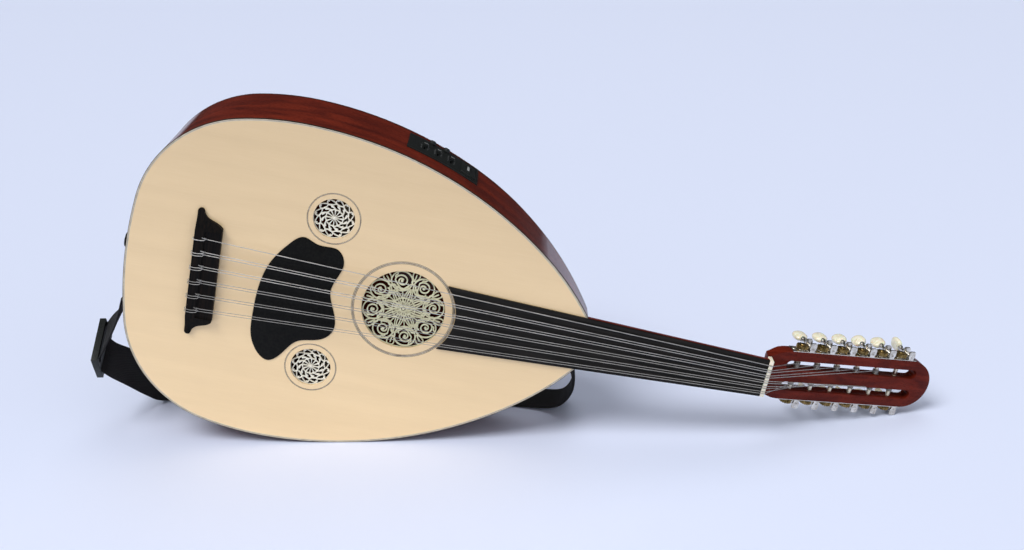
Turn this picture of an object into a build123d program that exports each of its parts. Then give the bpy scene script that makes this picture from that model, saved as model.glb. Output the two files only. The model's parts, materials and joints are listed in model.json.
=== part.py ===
from build123d import *
import os
from math import acos, atan2, cos, degrees, hypot, radians, sin, sqrt

# An electro-acoustic oud with upright sides, a flat back and a slotted head, standing on its treble edge.
# It is modelled along its own lines and then set down once. Along its own lines, X runs from the tail to
# the head, Y from the soundboard's front face to the back, and Z from the treble side to the bass side. The
# main rosette's centre is the zero. Millimetres throughout.

# Driving dimensions
SCALE = 601.5           # string length, bridge to nut
NUT_X = 402.0           # where the fingerboard ends
BRIDGE_FRONT = NUT_X - SCALE
NECK_X = 197.0          # where the body meets the neck
TOP_T = 2.5             # soundboard thickness
WALL_T = 3.0            # side wall thickness
BACK_T = 3.0            # back thickness
BACK_AT_ZERO = 92.0     # depth of the body at the main rosette
BACK_TAPER = 0.067      # loss of depth per millimetre towards the neck
BEND_X = 60.0           # from here on the back bends up to meet the neck
BACK_AT_NECK = 28.5
BINDING_W = 2.5
FIT = 0.05              # radial clearance of a running fit

# Body outline: arcs as (centre x, centre z, radius, first angle, last angle), then the shoulder to the neck
TAIL_ARC = (173.5, 0.0, 472.5, 180.0, 171.4)
CORNER_ARC = (-168.3, 51.7, 126.9, 171.4, 103.25)
SIDE_ARC = (-130.0, -110.8, 293.8, 103.25, 90.0)
UPPER_ARC = (-130.0, -252.0, 435.0, 90.0, 51.6)
SHOULDER_MID = (171.0, 61.0)
NECK_HALF = 30.6

# Rosettes
ROSE_R = 45.0           # opening of the main rosette
ROSE_RING_R = 54.5
SMALL_X = -88.0
SMALL_Z = 87.6
SMALL_R = 22.0
SMALL_RING_R = 27.85
ROSE_T = 2.0            # thickness of the pierced discs

# Neck and fingerboard
BOARD_T = 2.5           # fingerboard thickness above the soundboard
BOARD_HALF_ZERO = 38.9  # half width of the fingerboard, carried back to the main rosette
BOARD_SLOPE = 0.0421    # loss of half width per millimetre towards the nut
BOARD_END_R = 56.6      # the fingerboard ends in an arc round the main rosette
NECK_DEPTH_NUT = 21.0
NECK_DEPTH_BODY = 27.0
NUT_T = 4.5
NUT_HALF = 22.0
STRING_AT_NUT = -4.3    # y of the strings' centres over the nut
STRING_AT_BRIDGE = -7.0
TIE_FRONT = -217.0      # front face of the bridge's tie block

# Head, in its own plane: S runs along the head from the nut, H runs back from its face
HEAD_TILT = 14.0
HEAD_START_Y = 9.5
HEAD_T = 15.0
HEAD_HALF = 29.3
HEAD_LEN = 214.0
SLOT_IN = 7.5
SLOT_OUT = 18.5
SLOT_S0 = 25.5
SLOT_S1 = 193.0
POST_S0 = 42.4          # first post from the nut
POST_PITCH = 25.5
POST_H = 7.5            # post axis behind the head's face
POST_R = 2.5
MACHINES = 6            # a side

# Machine heads, outward from the head's side face
PLATE_T = 1.2
GEAR_R = 6.8
GEAR_T = 4.0
GEAR_TEETH = 14
WORM_OUT = 3.4          # worm axis from the plate's outer face, and the gear's middle
WORM_R = 3.0
WORM_S = 10.2           # worm axis from the post's axis, along the head
KEY_R = 1.5
LUG_OUT = 10.5          # the worm's brackets stand out this far from the plate
LUG_HALF = 4.0
BUTTON_H0 = 26.0        # nearest end of the button, behind the head's face
BUTTON_LEN = 18.0
BUTTON_W = 15.5
BUTTON_T = 7.5

# Strings: course centres across the bridge and the nut, bass to treble
COURSES = 6
BRIDGE_COURSE_0 = 41.2
BRIDGE_COURSE_STEP = 16.45
NUT_COURSE_0 = 17.0
NUT_COURSE_STEP = 6.6
PAIR_HALF_BRIDGE = 1.4
PAIR_HALF_NUT = 1.3

# Preamp in the bass side: x and y range of its plate
PREAMP_X = (-28.0, 52.0)
PREAMP_Y = (31.0, 80.0)
PREAMP_PROUD = 1.6      # plate above the wall
SLIDER_X = (-10.0, 5.0, 20.0)
SLIDER_Y = 55.0
SLIDER_TRAVEL = 8.0
KNOB_X = (-3.0, 13.0)
KNOB_Y = 75.0
DOOR_X = (30.5, 49.0)
DOOR_Y = (40.0, 76.0)

PIN_Y = 50.0            # end-pin jack on the tail
JACK_R = 6.0            # barrel
JACK_BORE = 3.2         # takes a 6.35 mm plug
BUTTON_ALONG = 0.76     # strap button's place along the back's bend
BUTTON_SHANK = 9.0      # its length inside the back and the neck block

# Strap: thickness, width, and the two edges of its webbing from the tail tab to the heel tab, as
# (x along the oud, y behind the soundboard, height above the floor)
STRAP_T = 2.4
TAB_T = 3.0
TAB_HALF = 17.0
TAB_OUT = 5.0           # middle of the tab on the strap button, outside the back
STRAP_FRONT = [
    (-303.5, 25, 166), (-308, 25, 135), (-319, 25, 100), (-323, 26, 84), (-311, 30, 70), (-297, 55, 46),
    (-277, 80, 19), (-264, 95, 5), (-240, 104, 1.6), (-190, 112, 1.6), (-60, 116, 1.6), (60, 104, 1.6),
    (130, 86, 1.6), (172, 74, 3), (196, 60, 12), (206, 47, 36), (203, 43, 64), (192, 41.5, 92)]
STRAP_REAR = [
    (-303.5, 75, 166), (-310, 75, 142), (-324, 74, 124), (-330, 73, 108), (-320, 75, 92), (-302, 100, 69),
    (-284, 126, 38), (-264, 144, 14), (-238, 154, 2.5), (-190, 162, 1.6), (-60, 166, 1.6), (66, 154, 1.6),
    (142, 134, 1.6), (186, 120, 3), (206, 104, 14), (209, 94, 40), (188, 88, 68), (150.3, 69.2, 92)]
BUCKLE_AT = 3           # the buckle sits on this point of the webbing


def stand_angle():
    """How far the head hangs down when the body's side and the last worm bracket both touch the floor."""
    cx, cz, radius = UPPER_ARC[:3]
    lug_s = POST_S0 + (MACHINES - 1) * POST_PITCH + WORM_S + LUG_HALF
    lug_x = NUT_X + lug_s * cos(radians(HEAD_TILT))
    lug_z = HEAD_HALF + PLATE_T + LUG_OUT
    reach_x = lug_x - cx
    reach_z = lug_z - cz
    return degrees(atan2(reach_x, reach_z)) - degrees(acos(radius / hypot(reach_x, reach_z)))


TILT = stand_angle()
FLOOR = UPPER_ARC[0] * sin(radians(TILT)) + UPPER_ARC[1] * cos(radians(TILT)) + UPPER_ARC[2]
HEAD = Pos(NUT_X, HEAD_START_Y, 0) * Rot(0, 0, HEAD_TILT)


def arc_point(arc, angle):
    """A point of one of the outline's arcs."""
    cx, cz, radius = arc[:3]
    return (cx + radius * cos(radians(angle)), cz + radius * sin(radians(angle)))


def side_z(x):
    """Half width of the body at x, between the corner and the shoulder."""
    cx, cz, radius = (SIDE_ARC if x < SIDE_ARC[0] else UPPER_ARC)[:3]
    return cz + sqrt(radius ** 2 - (x - cx) ** 2)


def back_y(x):
    """Depth of the back's outer face at x, on its straight stretch."""
    return BACK_AT_ZERO - BACK_TAPER * x


def back_line():
    """The back's outer face seen from the side, x against y: straight, then an arc that meets the neck."""
    bend = (BEND_X, back_y(BEND_X))
    straight = Line((-320, back_y(-320)), bend)
    return [straight, TangentArc(bend, (NECK_X, BACK_AT_NECK), tangent=(1, -BACK_TAPER))]


def board_half(x):
    """Half width of the fingerboard at x."""
    return BOARD_HALF_ZERO - BOARD_SLOPE * x


def outline():
    """The body's outline as one face, x against z."""
    edges = []
    for side in (1, -1):
        at = arc_point(TAIL_ARC, TAIL_ARC[3])
        for arc in (TAIL_ARC, CORNER_ARC, SIDE_ARC, UPPER_ARC):
            mid = arc_point(arc, (arc[3] + arc[4]) / 2)
            end = arc_point(arc, arc[4])
            edges.append(ThreePointArc((at[0], side * at[1]), (mid[0], side * mid[1]), (end[0], side * end[1])))
            at = end
        neck = (NECK_X, side * NECK_HALF)
        edges.append(ThreePointArc((at[0], side * at[1]), (SHOULDER_MID[0], side * SHOULDER_MID[1]), neck))
    edges.append(Line((NECK_X, NECK_HALF), (NECK_X, -NECK_HALF)))
    return make_face(edges)


OUTLINE = outline()


def inset(amount):
    """The body's outline drawn inward."""
    return offset(OUTLINE, -amount)


def slab(sketch, y0, y1):
    """A flat sketch, x against z, made solid from y0 to y1."""
    return extrude(Plane.XZ.offset(-y0) * sketch, amount=-(y1 - y0))


def side_view(top, behind):
    """The face between the line y = top and the back's line moved by `behind`, x against y."""
    edge = Pos(0, behind) * Curve(children=back_line())
    ends = [edge.edges().sort_by(Axis.X)[0] @ 0, edge.edges().sort_by(Axis.X)[-1] @ 1]
    return make_face(edge.edges() + Polyline(ends[1], (NECK_X, top), (-320, top), ends[0]).edges())


def layer(front, behind):
    """Everything between y = front and the surface that lies `behind` millimetres outside the back."""
    return extrude(Plane.XY.offset(-220) * side_view(front, behind), amount=440)


def back_layer(thick, behind=0.0):
    """A slice as thick as the back, measured inward from its outer face."""
    return layer(0, behind) - layer(-1, behind - thick)


def box(x0, x1, y0, y1, z0, z1):
    """An upright box from its corners."""
    centre = Pos((x0 + x1) / 2, (y0 + y1) / 2, (z0 + z1) / 2)
    return centre * Box(x1 - x0, y1 - y0, z1 - z0)


def rod(start, end, radius):
    """A round bar between two points."""
    line = Vector(*end) - Vector(*start)
    plane = Plane(origin=Vector(*start), z_dir=line.normalized())
    return extrude(plane * Circle(radius), amount=line.length)


# Body

def soundboard():
    plate = slab(inset(BINDING_W), 0, TOP_T)
    plate -= slab(Circle(ROSE_R), 0, TOP_T)
    plate -= ring(0, 0, ROSE_RING_R, 3.0)
    for z in (SMALL_Z, -SMALL_Z):
        plate -= slab(Pos(SMALL_X, z) * Circle(SMALL_R), 0, TOP_T)
        plate -= ring(SMALL_X, z, SMALL_RING_R, 1.5)
    return plate


def ring(x, z, radius, width, deep=1.0):
    """An inlaid ring, let into the soundboard's face."""
    band = Circle(radius + width / 2) - Circle(radius - width / 2)
    return slab(Pos(x, z) * band, 0, deep)


def rosette_rings():
    rings = [ring(0, 0, ROSE_RING_R, 3.0)]
    rings += [ring(SMALL_X, z, SMALL_RING_R, 1.5) for z in (SMALL_Z, -SMALL_Z)]
    return rings


def hoop(x, z, radius, width=2.0):
    return Pos(x, z) * (Circle(radius + width / 2) - Circle(radius - width / 2))


def main_rosette():
    """Eight scroll circles round a star of eight crossing circles, in a rim glued behind the soundboard."""
    web = hoop(0, 0, ROSE_R + 2.5, 7.0)
    web += hoop(0, 0, 6.5)
    for k in range(8):
        turn = radians(45 * k + 22.5)
        web += hoop(32.4 * cos(turn), 32.4 * sin(turn), 9.6, 2.4)
        web += hoop(32.4 * cos(turn), 32.4 * sin(turn), 4.2, 2.0)
        web += hoop(14.0 * cos(turn), 14.0 * sin(turn), 9.0)
        web += Rot(0, 0, degrees(turn)) * Pos(43.5, 0) * Rectangle(5.0, 3.0)
        web += Rot(0, 0, degrees(turn)) * Pos(32.4, 0) * Rectangle(19.0, 1.8)
    return slab(web, TOP_T, TOP_T + ROSE_T)


def small_rosette(z):
    """A wheel of twelve spokes inside a ring of curls."""
    web = hoop(0, 0, SMALL_R + 1.5, 5.0)
    web += hoop(0, 0, 10.2, 1.8)
    web += Circle(2.0)
    for k in range(12):
        spoke = Rot(0, 0, 30 * k)
        web += spoke * Pos(6.0, 0) * Rectangle(9.0, 1.3)
        web += spoke * Pos(15.3, 0) * (Circle(3.7) - Circle(2.2))
        web += spoke * Pos(20.4, 0) * Rectangle(4.4, 1.6)
        web += spoke * Pos(11.5, 0) * Rectangle(2.4, 1.6)
    return slab(Pos(SMALL_X, z) * web, TOP_T, TOP_T + ROSE_T)


def binding():
    return slab(OUTLINE - inset(BINDING_W), 0, TOP_T)


def neck_block():
    block = box(150, NECK_X, TOP_T, 90, -27, 27) & layer(TOP_T, -BACK_T)
    return block - button_part(-BUTTON_SHANK, 0, 2.0)


def tail_block():
    block = slab(inset(WALL_T), TOP_T, 130) & layer(TOP_T, -BACK_T) & box(-310, -272, 0, 130, -36, 36)
    return block - rod((-320, PIN_Y, 0), (-260, PIN_Y, 0), 6.0 + FIT)


def wall(side):
    """One side wall, from the binding to the back."""
    shell = slab(OUTLINE - inset(WALL_T), TOP_T, 130) & layer(TOP_T, -BACK_T)
    shell &= box(-320, 220, 0, 130, 0, 200) if side > 0 else box(-320, 220, 0, 130, -200, 0)
    shell -= box(150, 220, 0, 130, -27, 27)
    shell -= rod((-320, PIN_Y, 0), (-260, PIN_Y, 0), 6.0 + FIT)
    if side > 0:
        shell -= box(PREAMP_X[0] + 3, PREAMP_X[1] - 3, PREAMP_Y[0] + 3, PREAMP_Y[1] - 3, 120, 200)
    return shell


def linings():
    """Glued strips that widen the walls' edges inside, front and back."""
    band = inset(WALL_T) - inset(WALL_T + 5)
    gaps = box(150, 220, 0, 130, -27, 27) + box(-310, -272, 0, 130, -36, 36)
    front = slab(band, TOP_T, TOP_T + 7) - gaps
    behind = (slab(band, TOP_T, 130) & back_layer(7, -BACK_T)) - gaps
    return front.solids() + behind.solids()


def back_plate(side):
    half = box(-320, 220, 0, 130, 0, 200) if side > 0 else box(-320, 220, 0, 130, -200, 0)
    plate = slab(OUTLINE, TOP_T, 130) & back_layer(BACK_T) & half
    return plate - button_part(-BUTTON_SHANK, 1, 2.0)


def bars(places, y_layer, width):
    """Bars across the inside, between the linings."""
    room = slab(inset(WALL_T + 5), TOP_T, 130) & y_layer
    return [s for x in places for s in (room & box(x - width / 2, x + width / 2, 0, 130, -200, 200)).solids()]


def top_bars():
    y_layer = box(-320, 220, TOP_T, TOP_T + 11, -200, 200)
    return bars((-245, -165, -124, -57.5, 57.5, 105), y_layer, 7)


def back_bars():
    return bars((-210, -80, 60), back_layer(10, -BACK_T), 9)


def pickguard():
    bass = [(-79, 1), (-76, 20), (-70.5, 42), (-78, 54), (-100, 56), (-116, 61.5), (-130, 51), (-148, 24)]
    treble = [(-155, 0), (-158, -38), (-152, -74), (-135, -88), (-122, -78), (-106, -59), (-80, -51)]
    treble.append((-70.5, -40))
    edge = Spline(*bass, *treble, periodic=True)
    return slab(make_face(edge), -0.8, 0)


def bridge():
    """A low bar with hollowed wing tips, its middle stepped up to a tie block along its rear."""
    half = [(-227.5, 0), (-227.5, 69), (-224, 73), (-220.5, 69), (-216, 63), (-206, 58.5)]
    half.append((BRIDGE_FRONT, 53.5))
    edges = []
    for s in (1, -1):
        pts = [(x, s * z) for x, z in half]
        edges += [Line(pts[0], pts[1]), ThreePointArc(pts[1], pts[2], pts[3])]
        edges += [Spline(*pts[3:6], pts[6])]
    edges.append(Line((BRIDGE_FRONT, 53.5), (BRIDGE_FRONT, -53.5)))
    body = slab(make_face(edges), -10, 0)
    crown = [(-80, 0), (80, 0), (80, -3), (62, -3.6), (50, -8.6), (-50, -8.6), (-62, -3.6), (-80, -3)]
    shape = make_face(Polyline(*[(y, z) for z, y in crown], close=True))
    body &= extrude(Plane.YZ.offset(-230) * shape, amount=40)
    return body - box(TIE_FRONT, BRIDGE_FRONT + 1, -10, STRING_AT_BRIDGE + 0.6, -50, 50)


# Neck and head

def fingerboard():
    x0, x1 = 40.0, NUT_X
    shape = Polyline((x0, board_half(x0)), (x1, board_half(x1)), (x1, -board_half(x1)), (x0, -board_half(x0)),
                     close=True)
    return slab(make_face(shape) - Circle(BOARD_END_R), -BOARD_T, 0)


def neck_section(x, depth):
    """Half an ellipse below the fingerboard, x against y and z."""
    half = board_half(x)
    below = Pos(depth, 0) * Rectangle(2 * depth, 4 * half)
    return Plane.YZ.offset(x) * (Ellipse(depth, half) & below)


def neck():
    """The shaft, rounded behind, which runs straight on from the body's back."""
    return loft([neck_section(NECK_X, NECK_DEPTH_BODY), neck_section(NUT_X, NECK_DEPTH_NUT)])


def nut():
    foot = HEAD_START_Y + NUT_T
    bar = box(NUT_X, NUT_X + NUT_T, STRING_AT_NUT + 0.6, foot, -NUT_HALF, NUT_HALF)
    return bar - HEAD * box(-20, 60, 0, 60, -40, 40)


def headstock():
    """A slotted head, round at its end, with holes for the posts."""
    tip = HEAD_LEN - HEAD_HALF
    edges = []
    for s in (1, -1):
        edges.append(Line((-8, s * NUT_HALF), (2, s * NUT_HALF)))
        flare = [(2, s * NUT_HALF), (14, s * 27.0), (28, s * HEAD_HALF)]
        edges.append(Spline(*flare, tangents=[(1, s * 0.3), (1, 0)]))
        edges.append(Line((28, s * HEAD_HALF), (tip, s * HEAD_HALF)))
    edges.append(ThreePointArc((tip, HEAD_HALF), (HEAD_LEN, 0), (tip, -HEAD_HALF)))
    edges.append(Line((-8, NUT_HALF), (-8, -NUT_HALF)))
    block = slab(make_face(edges), 0, HEAD_T)
    opening = SlotOverall(SLOT_S1 - SLOT_S0, SLOT_OUT - SLOT_IN)
    for s in (1, -1):
        slot = Pos((SLOT_S0 + SLOT_S1) / 2, s * (SLOT_IN + SLOT_OUT) / 2) * opening
        block -= slab(slot, -1, HEAD_T + 1)
        for k in range(MACHINES):
            at = post_s(k)
            block -= rod((at, POST_H, s * 3.5), (at, POST_H, s * (HEAD_HALF + 1)), POST_R + FIT)
    block = HEAD * block
    block -= box(NUT_X - 30, NUT_X, -10, 60, -50, 50)
    back = [(NUT_X, NECK_DEPTH_NUT + 1), (NUT_X + 34, HEAD_START_Y + 29), (NUT_X + 34, 70), (NUT_X, 70)]
    return block - extrude(Plane.XY.offset(-50) * make_face(Polyline(*back, close=True)), amount=100)


# Machine heads, in the head's own plane; side is 1 for bass and -1 for treble

def post_s(k):
    return POST_S0 + k * POST_PITCH


PLATE_OUT = HEAD_HALF + PLATE_T
WORM_Z = PLATE_OUT + WORM_OUT


def screw_places():
    places = [post_s(k) - POST_PITCH / 2 + 3.4 for k in range(1, MACHINES)]
    return [POST_S0 - 9.6] + places


def machine_plate(side):
    """A strip along the head's side with two brackets for each worm."""
    z0, z1 = sorted((side * HEAD_HALF, side * PLATE_OUT))
    plate = box(POST_S0 - 13, post_s(MACHINES - 1) + 18, 0.8, HEAD_T - 0.8, z0, z1)
    for k in range(MACHINES):
        worm = post_s(k) + WORM_S
        z0, z1 = sorted((side * (PLATE_OUT - 0.2), side * (PLATE_OUT + LUG_OUT)))
        plate += box(worm - LUG_HALF, worm + LUG_HALF, 0.8, 2.8, z0, z1)
        plate += box(worm - LUG_HALF, worm + LUG_HALF, 12.2, 14.2, z0, z1)
        plate -= rod((worm, 0, side * WORM_Z), (worm, HEAD_T, side * WORM_Z), KEY_R + FIT)
        at = post_s(k)
        plate -= rod((at, POST_H, side * HEAD_HALF), (at, POST_H, side * (PLATE_OUT + 1)), POST_R + FIT)
    for at in screw_places():
        plate -= rod((at, POST_H, side * (HEAD_HALF - 1)), (at, POST_H, side * (PLATE_OUT + 1)), 1.1)
    return HEAD * plate


def plate_screws():
    screws = []
    for side in (1, -1):
        for at in screw_places():
            shank = rod((at, POST_H, side * HEAD_HALF), (at, POST_H, side * PLATE_OUT), 1.1)
            head = rod((at, POST_H, side * PLATE_OUT), (at, POST_H, side * (PLATE_OUT + 1.2)), 2.2)
            screws.append(HEAD * (shank + head))
    return screws


def post(side, k):
    """A roller across the slot, with its gear outside the plate."""
    at = post_s(k)
    roller = rod((at, POST_H, side * 4), (at, POST_H, side * (WORM_Z + GEAR_T / 2)), POST_R)
    boss = rod((at, POST_H, side * (PLATE_OUT + 0.1)), (at, POST_H, side * WORM_Z), 4.0)
    tooth_gap = 360 / GEAR_TEETH
    wheel = Circle(GEAR_R)
    for t in range(GEAR_TEETH):
        wheel -= Rot(0, 0, t * tooth_gap) * Pos(GEAR_R, 0) * Circle(0.75)
    gear = Pos(at, POST_H, side * WORM_Z - GEAR_T / 2) * extrude(wheel, amount=GEAR_T)
    return HEAD * (roller + boss + gear)


def key(side, k):
    """A worm between its brackets, and an oval button behind the head."""
    at = post_s(k) + WORM_S
    z = side * WORM_Z
    shaft = rod((at, 0.4, z), (at, BUTTON_H0 + 4, z), KEY_R)
    worm = rod((at, 3.1, z), (at, 11.9, z), WORM_R)
    collar = rod((at, BUTTON_H0 - 8, z), (at, BUTTON_H0 + 1, z), 2.4)
    oval = extrude(Ellipse(BUTTON_W / 2, BUTTON_LEN / 2), amount=BUTTON_T / 2, both=True)
    oval = fillet(oval.edges(), 2.4)
    return HEAD * (shaft + worm + collar + Pos(at, BUTTON_H0 + BUTTON_LEN / 2, z) * oval)


# Strings

def string_ends():
    """Every string, bass to treble: radius, z at the bridge, z at the nut, post and z on the post."""
    wraps = [12.0, 11.5, 11.0, 10.6, 10.4, 10.2]
    strings = []
    for course in range(COURSES):
        bridge_z = BRIDGE_COURSE_0 - course * BRIDGE_COURSE_STEP
        nut_z = NUT_COURSE_0 - course * NUT_COURSE_STEP
        radius = 0.5 - 0.035 * course
        for pair in ((0,) if course == 0 else (1, -1)):
            strings.append([radius, bridge_z + pair * PAIR_HALF_BRIDGE, nut_z + pair * PAIR_HALF_NUT])
    for i, entry in enumerate(strings):
        k = i if i < 5 else 10 - i
        entry += [k, wraps[k] if i < 5 else -wraps[k]]
    return strings


def string(radius, bridge_z, nut_z, k, post_z):
    """One string from the bridge's tie block over the nut to its turns on the post."""
    turn_r = POST_R + 0.3 + radius
    on_post = (HEAD * Pos(post_s(k), POST_H - turn_r, post_z)).position
    path = Polyline((TIE_FRONT, STRING_AT_BRIDGE, bridge_z), (NUT_X + NUT_T, STRING_AT_NUT, nut_z), on_post)
    run = sweep(Plane(origin=path @ 0, z_dir=path % 0) * Circle(radius), path, transition=Transition.RIGHT)
    turns = Cylinder(turn_r + radius, 8 * radius) - Cylinder(turn_r - radius, 9 * radius)
    return run + HEAD * Pos(post_s(k), POST_H, post_z) * turns


# Preamp

def wall_frame(x, y):
    """A frame on the bass wall's outer face: local Z outward, local Y towards the back."""
    cx, cz, radius = UPPER_ARC[:3]
    z = side_z(x)
    outward = Vector(x - cx, 0, z - cz).normalized()
    return Plane(origin=(x, y, z), x_dir=outward.cross(Vector(0, -1, 0)), z_dir=outward).location


def preamp_housing():
    x0, x1 = PREAMP_X
    y0, y1 = PREAMP_Y
    plate = slab(offset(OUTLINE, PREAMP_PROUD), TOP_T, 110) - slab(OUTLINE, 0, 112)
    inside = slab(OUTLINE, TOP_T, 110) - slab(inset(34), 0, 112)
    body = plate & box(x0, x1, y0, y1, 60, 200)
    body += inside & box(x0 + 3, x1 - 3, y0 + 3, y1 - 3, 60, 200)
    for x in SLIDER_X:
        body -= wall_frame(x, SLIDER_Y) * Box(2.4, 2 * SLIDER_TRAVEL + 6, 16)
    for x in KNOB_X:
        body -= wall_frame(x, KNOB_Y) * Cylinder(1.2 + FIT, 16)
    mid_x = (DOOR_X[0] + DOOR_X[1]) / 2
    mid_y = (DOOR_Y[0] + DOOR_Y[1]) / 2
    wide = DOOR_X[1] - DOOR_X[0]
    tall = DOOR_Y[1] - DOOR_Y[0]
    body -= wall_frame(mid_x, mid_y) * Pos(0, 0, -12) * Box(wide, tall, 30)
    return body - wall_frame(mid_x, DOOR_Y[0]) * hinge_barrel(wide + 0.8, 2.1)


def hinge_barrel(length, radius):
    """A round bar along the door's front edge, just above the plate."""
    return Pos(0, 0, PREAMP_PROUD + 0.2) * Rot(0, 90, 0) * Cylinder(radius, length)


def battery_door():
    mid_x = (DOOR_X[0] + DOOR_X[1]) / 2
    wide = DOOR_X[1] - DOOR_X[0]
    tall = DOOR_Y[1] - DOOR_Y[0]
    leaf = Pos(0, tall / 2, PREAMP_PROUD - 0.7) * Box(wide - 0.8, tall - 1.0, 1.4)
    latch = Pos(0, tall - 6, PREAMP_PROUD + 0.4) * Box(6, 4, 1.4)
    frame = wall_frame(mid_x, DOOR_Y[0])
    return frame * (leaf + latch + hinge_barrel(wide - 1.2, 1.0))


def slider(x):
    stem = Pos(0, 0, 0) * Box(1.8, 3.4, 6)
    cap = Pos(0, 0, PREAMP_PROUD + 2.0) * Box(4.6, 3.4, 3.2)
    return wall_frame(x, SLIDER_Y) * (stem + cap)


def knob(x):
    shaft = Pos(0, 0, -1) * Cylinder(1.2, 8)
    grip = Pos(0, 0, PREAMP_PROUD + 1.9) * Cylinder(3.8, 3)
    return wall_frame(x, KNOB_Y) * (shaft + grip)


# Jack, strap button and strap

TAIL_X = TAIL_ARC[0] - TAIL_ARC[2]


def turned(x, y, stations):
    """A turned piece along X: stations are (from, to, radius)."""
    solid = None
    for x0, x1, radius in stations:
        bar = rod((x + x0, y, 0), (x + x1, y, 0), radius)
        solid = bar if solid is None else solid + bar
    return solid


def endpin_jack():
    """The barrel goes through the tail block; the strap's tab hangs on its groove."""
    outside = [(-12, -7, 8.0), (-7, 0, JACK_R - 0.6), (-2.2, 0, 9.0)]
    pin = turned(TAIL_X, PIN_Y, outside + [(0, 32, JACK_R), (27, 31, 9.5)])
    return pin - rod((TAIL_X - 13, PIN_Y, 0), (TAIL_X + 26, PIN_Y, 0), JACK_BORE)


def button_part(start, end, radius):
    """A round bar along the strap button's axis, square to the back; distances are from the back's face."""
    bend = back_line()[1]
    foot = bend @ BUTTON_ALONG
    out = (bend % BUTTON_ALONG).rotate(Axis.Z, 90)
    return rod(tuple(foot + out * start), tuple(foot + out * end), radius)


def heel_strap_button():
    flange = button_part(1.6, 9, 3.6)
    return button_part(-BUTTON_SHANK, 5, 2.0) + flange + button_part(9, 12.5, 7.5)


def standing(x, y, height):
    """A point given by its height above the floor, in the oud's own lines."""
    return Vector(x, y, (height - FLOOR + x * sin(radians(TILT))) / cos(radians(TILT)))


def strap_section(i, front, rear):
    """The webbing's cross-section at one of its points."""
    last = len(front) - 1
    ahead = (front[min(i + 1, last)] + rear[min(i + 1, last)]) - (front[max(i - 1, 0)] + rear[max(i - 1, 0)])
    across = (rear[i] - front[i]).normalized()
    up = ahead.cross(across).normalized() * (STRAP_T / 2)
    corners = [front[i] + up, rear[i] + up, rear[i] - up, front[i] - up]
    return make_face(Polyline(*[tuple(c) for c in corners], close=True))


def strap_edges():
    return [standing(*p) for p in STRAP_FRONT], [standing(*p) for p in STRAP_REAR]


def strap_webbing():
    front, rear = strap_edges()
    return loft([strap_section(i, front, rear) for i in range(len(front))], ruled=True)


def strap_buckle():
    """A three-bar slider round the webbing."""
    front, rear = strap_edges()
    i = BUCKLE_AT
    along = ((front[i + 1] + rear[i + 1]) - (front[i - 1] + rear[i - 1])).normalized()
    across = (rear[i] - front[i]).normalized()
    centre = (front[i] + rear[i]) / 2
    plane = Plane(origin=centre, x_dir=across, z_dir=across.cross(along))
    windows = Pos(0, 8, 0) * Box(51, 9, 10) + Pos(0, -8, 0) * Box(51, 9, 10)
    return plane.location * (Box(60, 32, 7) - windows) - strap_webbing()


def strap_tabs():
    """The two ends: leather, folded round the webbing's end and slit to go over a pin."""
    front, rear = strap_edges()
    bend = back_line()[1]
    flat = bend % BUTTON_ALONG
    on_button = bend @ BUTTON_ALONG + flat.rotate(Axis.Z, 90) * TAB_OUT
    tail_top = Vector(TAIL_X - 4.6, PIN_Y, TAB_HALF)
    heel_top = on_button + Vector(0, 0, TAB_HALF)
    tail = tab(tail_top, (front[0] + rear[0]) / 2, Vector(0, 1, 0), JACK_R)
    return [tail, tab(heel_top, (front[-1] + rear[-1]) / 2, flat * -1, 4.0)]


def tab(top, foot, across, hole):
    """A strip from the webbing's end at `foot` to its round end at `top`, its width along `across`."""
    along = top - foot
    length = along.length
    plane = Plane(origin=foot, x_dir=across, z_dir=across.cross(along.normalized()))
    shape = Pos(0, length / 2) * Rectangle(2 * TAB_HALF, length)
    shape = fillet(shape.vertices().group_by(Axis.Y)[-1], TAB_HALF - 1)
    solid = extrude(shape, amount=TAB_T / 2, both=True)
    return plane.location * (solid - Pos(0, length - TAB_HALF, 0) * Cylinder(hole, 20)) - strap_webbing()


def pieces():
    """Every piece by its name."""
    bass, plain = string_ends()[:5], string_ends()[5:]
    parts = {
        "soundboard": soundboard(), "rosette_rings": rosette_rings(), "main_rosette": main_rosette(),
        "small_rosettes": [small_rosette(SMALL_Z), small_rosette(-SMALL_Z)], "binding": binding(),
        "pickguard": pickguard(), "soundboard_braces": top_bars(), "back_braces": back_bars(),
        "bass_side": wall(1), "treble_side": wall(-1), "linings": linings(), "neck_block": neck_block(),
        "tail_block": tail_block(), "back_halves": [back_plate(1), back_plate(-1)],
        "bridge": bridge(), "fingerboard": fingerboard(), "neck": neck(), "nut": nut(),
        "headstock": headstock(),
        "wound_strings": [string(*e) for e in bass], "plain_strings": [string(*e) for e in plain],
        "bass_machine_plate": machine_plate(1), "treble_machine_plate": machine_plate(-1),
        "plate_screws": plate_screws(), "preamp_housing": preamp_housing(), "battery_door": battery_door(),
        "endpin_jack": endpin_jack(), "heel_strap_button": heel_strap_button(),
        "strap_webbing": strap_webbing(),
        "strap_buckle": strap_buckle(), "strap_tabs": strap_tabs(),
    }
    for i, x in enumerate(SLIDER_X):
        parts["tone_slider_%d" % (i + 1)] = slider(x)
    for i, x in enumerate(KNOB_X):
        parts["preamp_knob_%d" % (i + 1)] = knob(x)
    for side, name in ((1, "bass"), (-1, "treble")):
        for k in range(MACHINES):
            parts["%s_key_%d" % (name, k + 1)] = key(side, k)
            parts["%s_post_%d" % (name, k + 1)] = post(side, k)
    return parts


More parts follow.
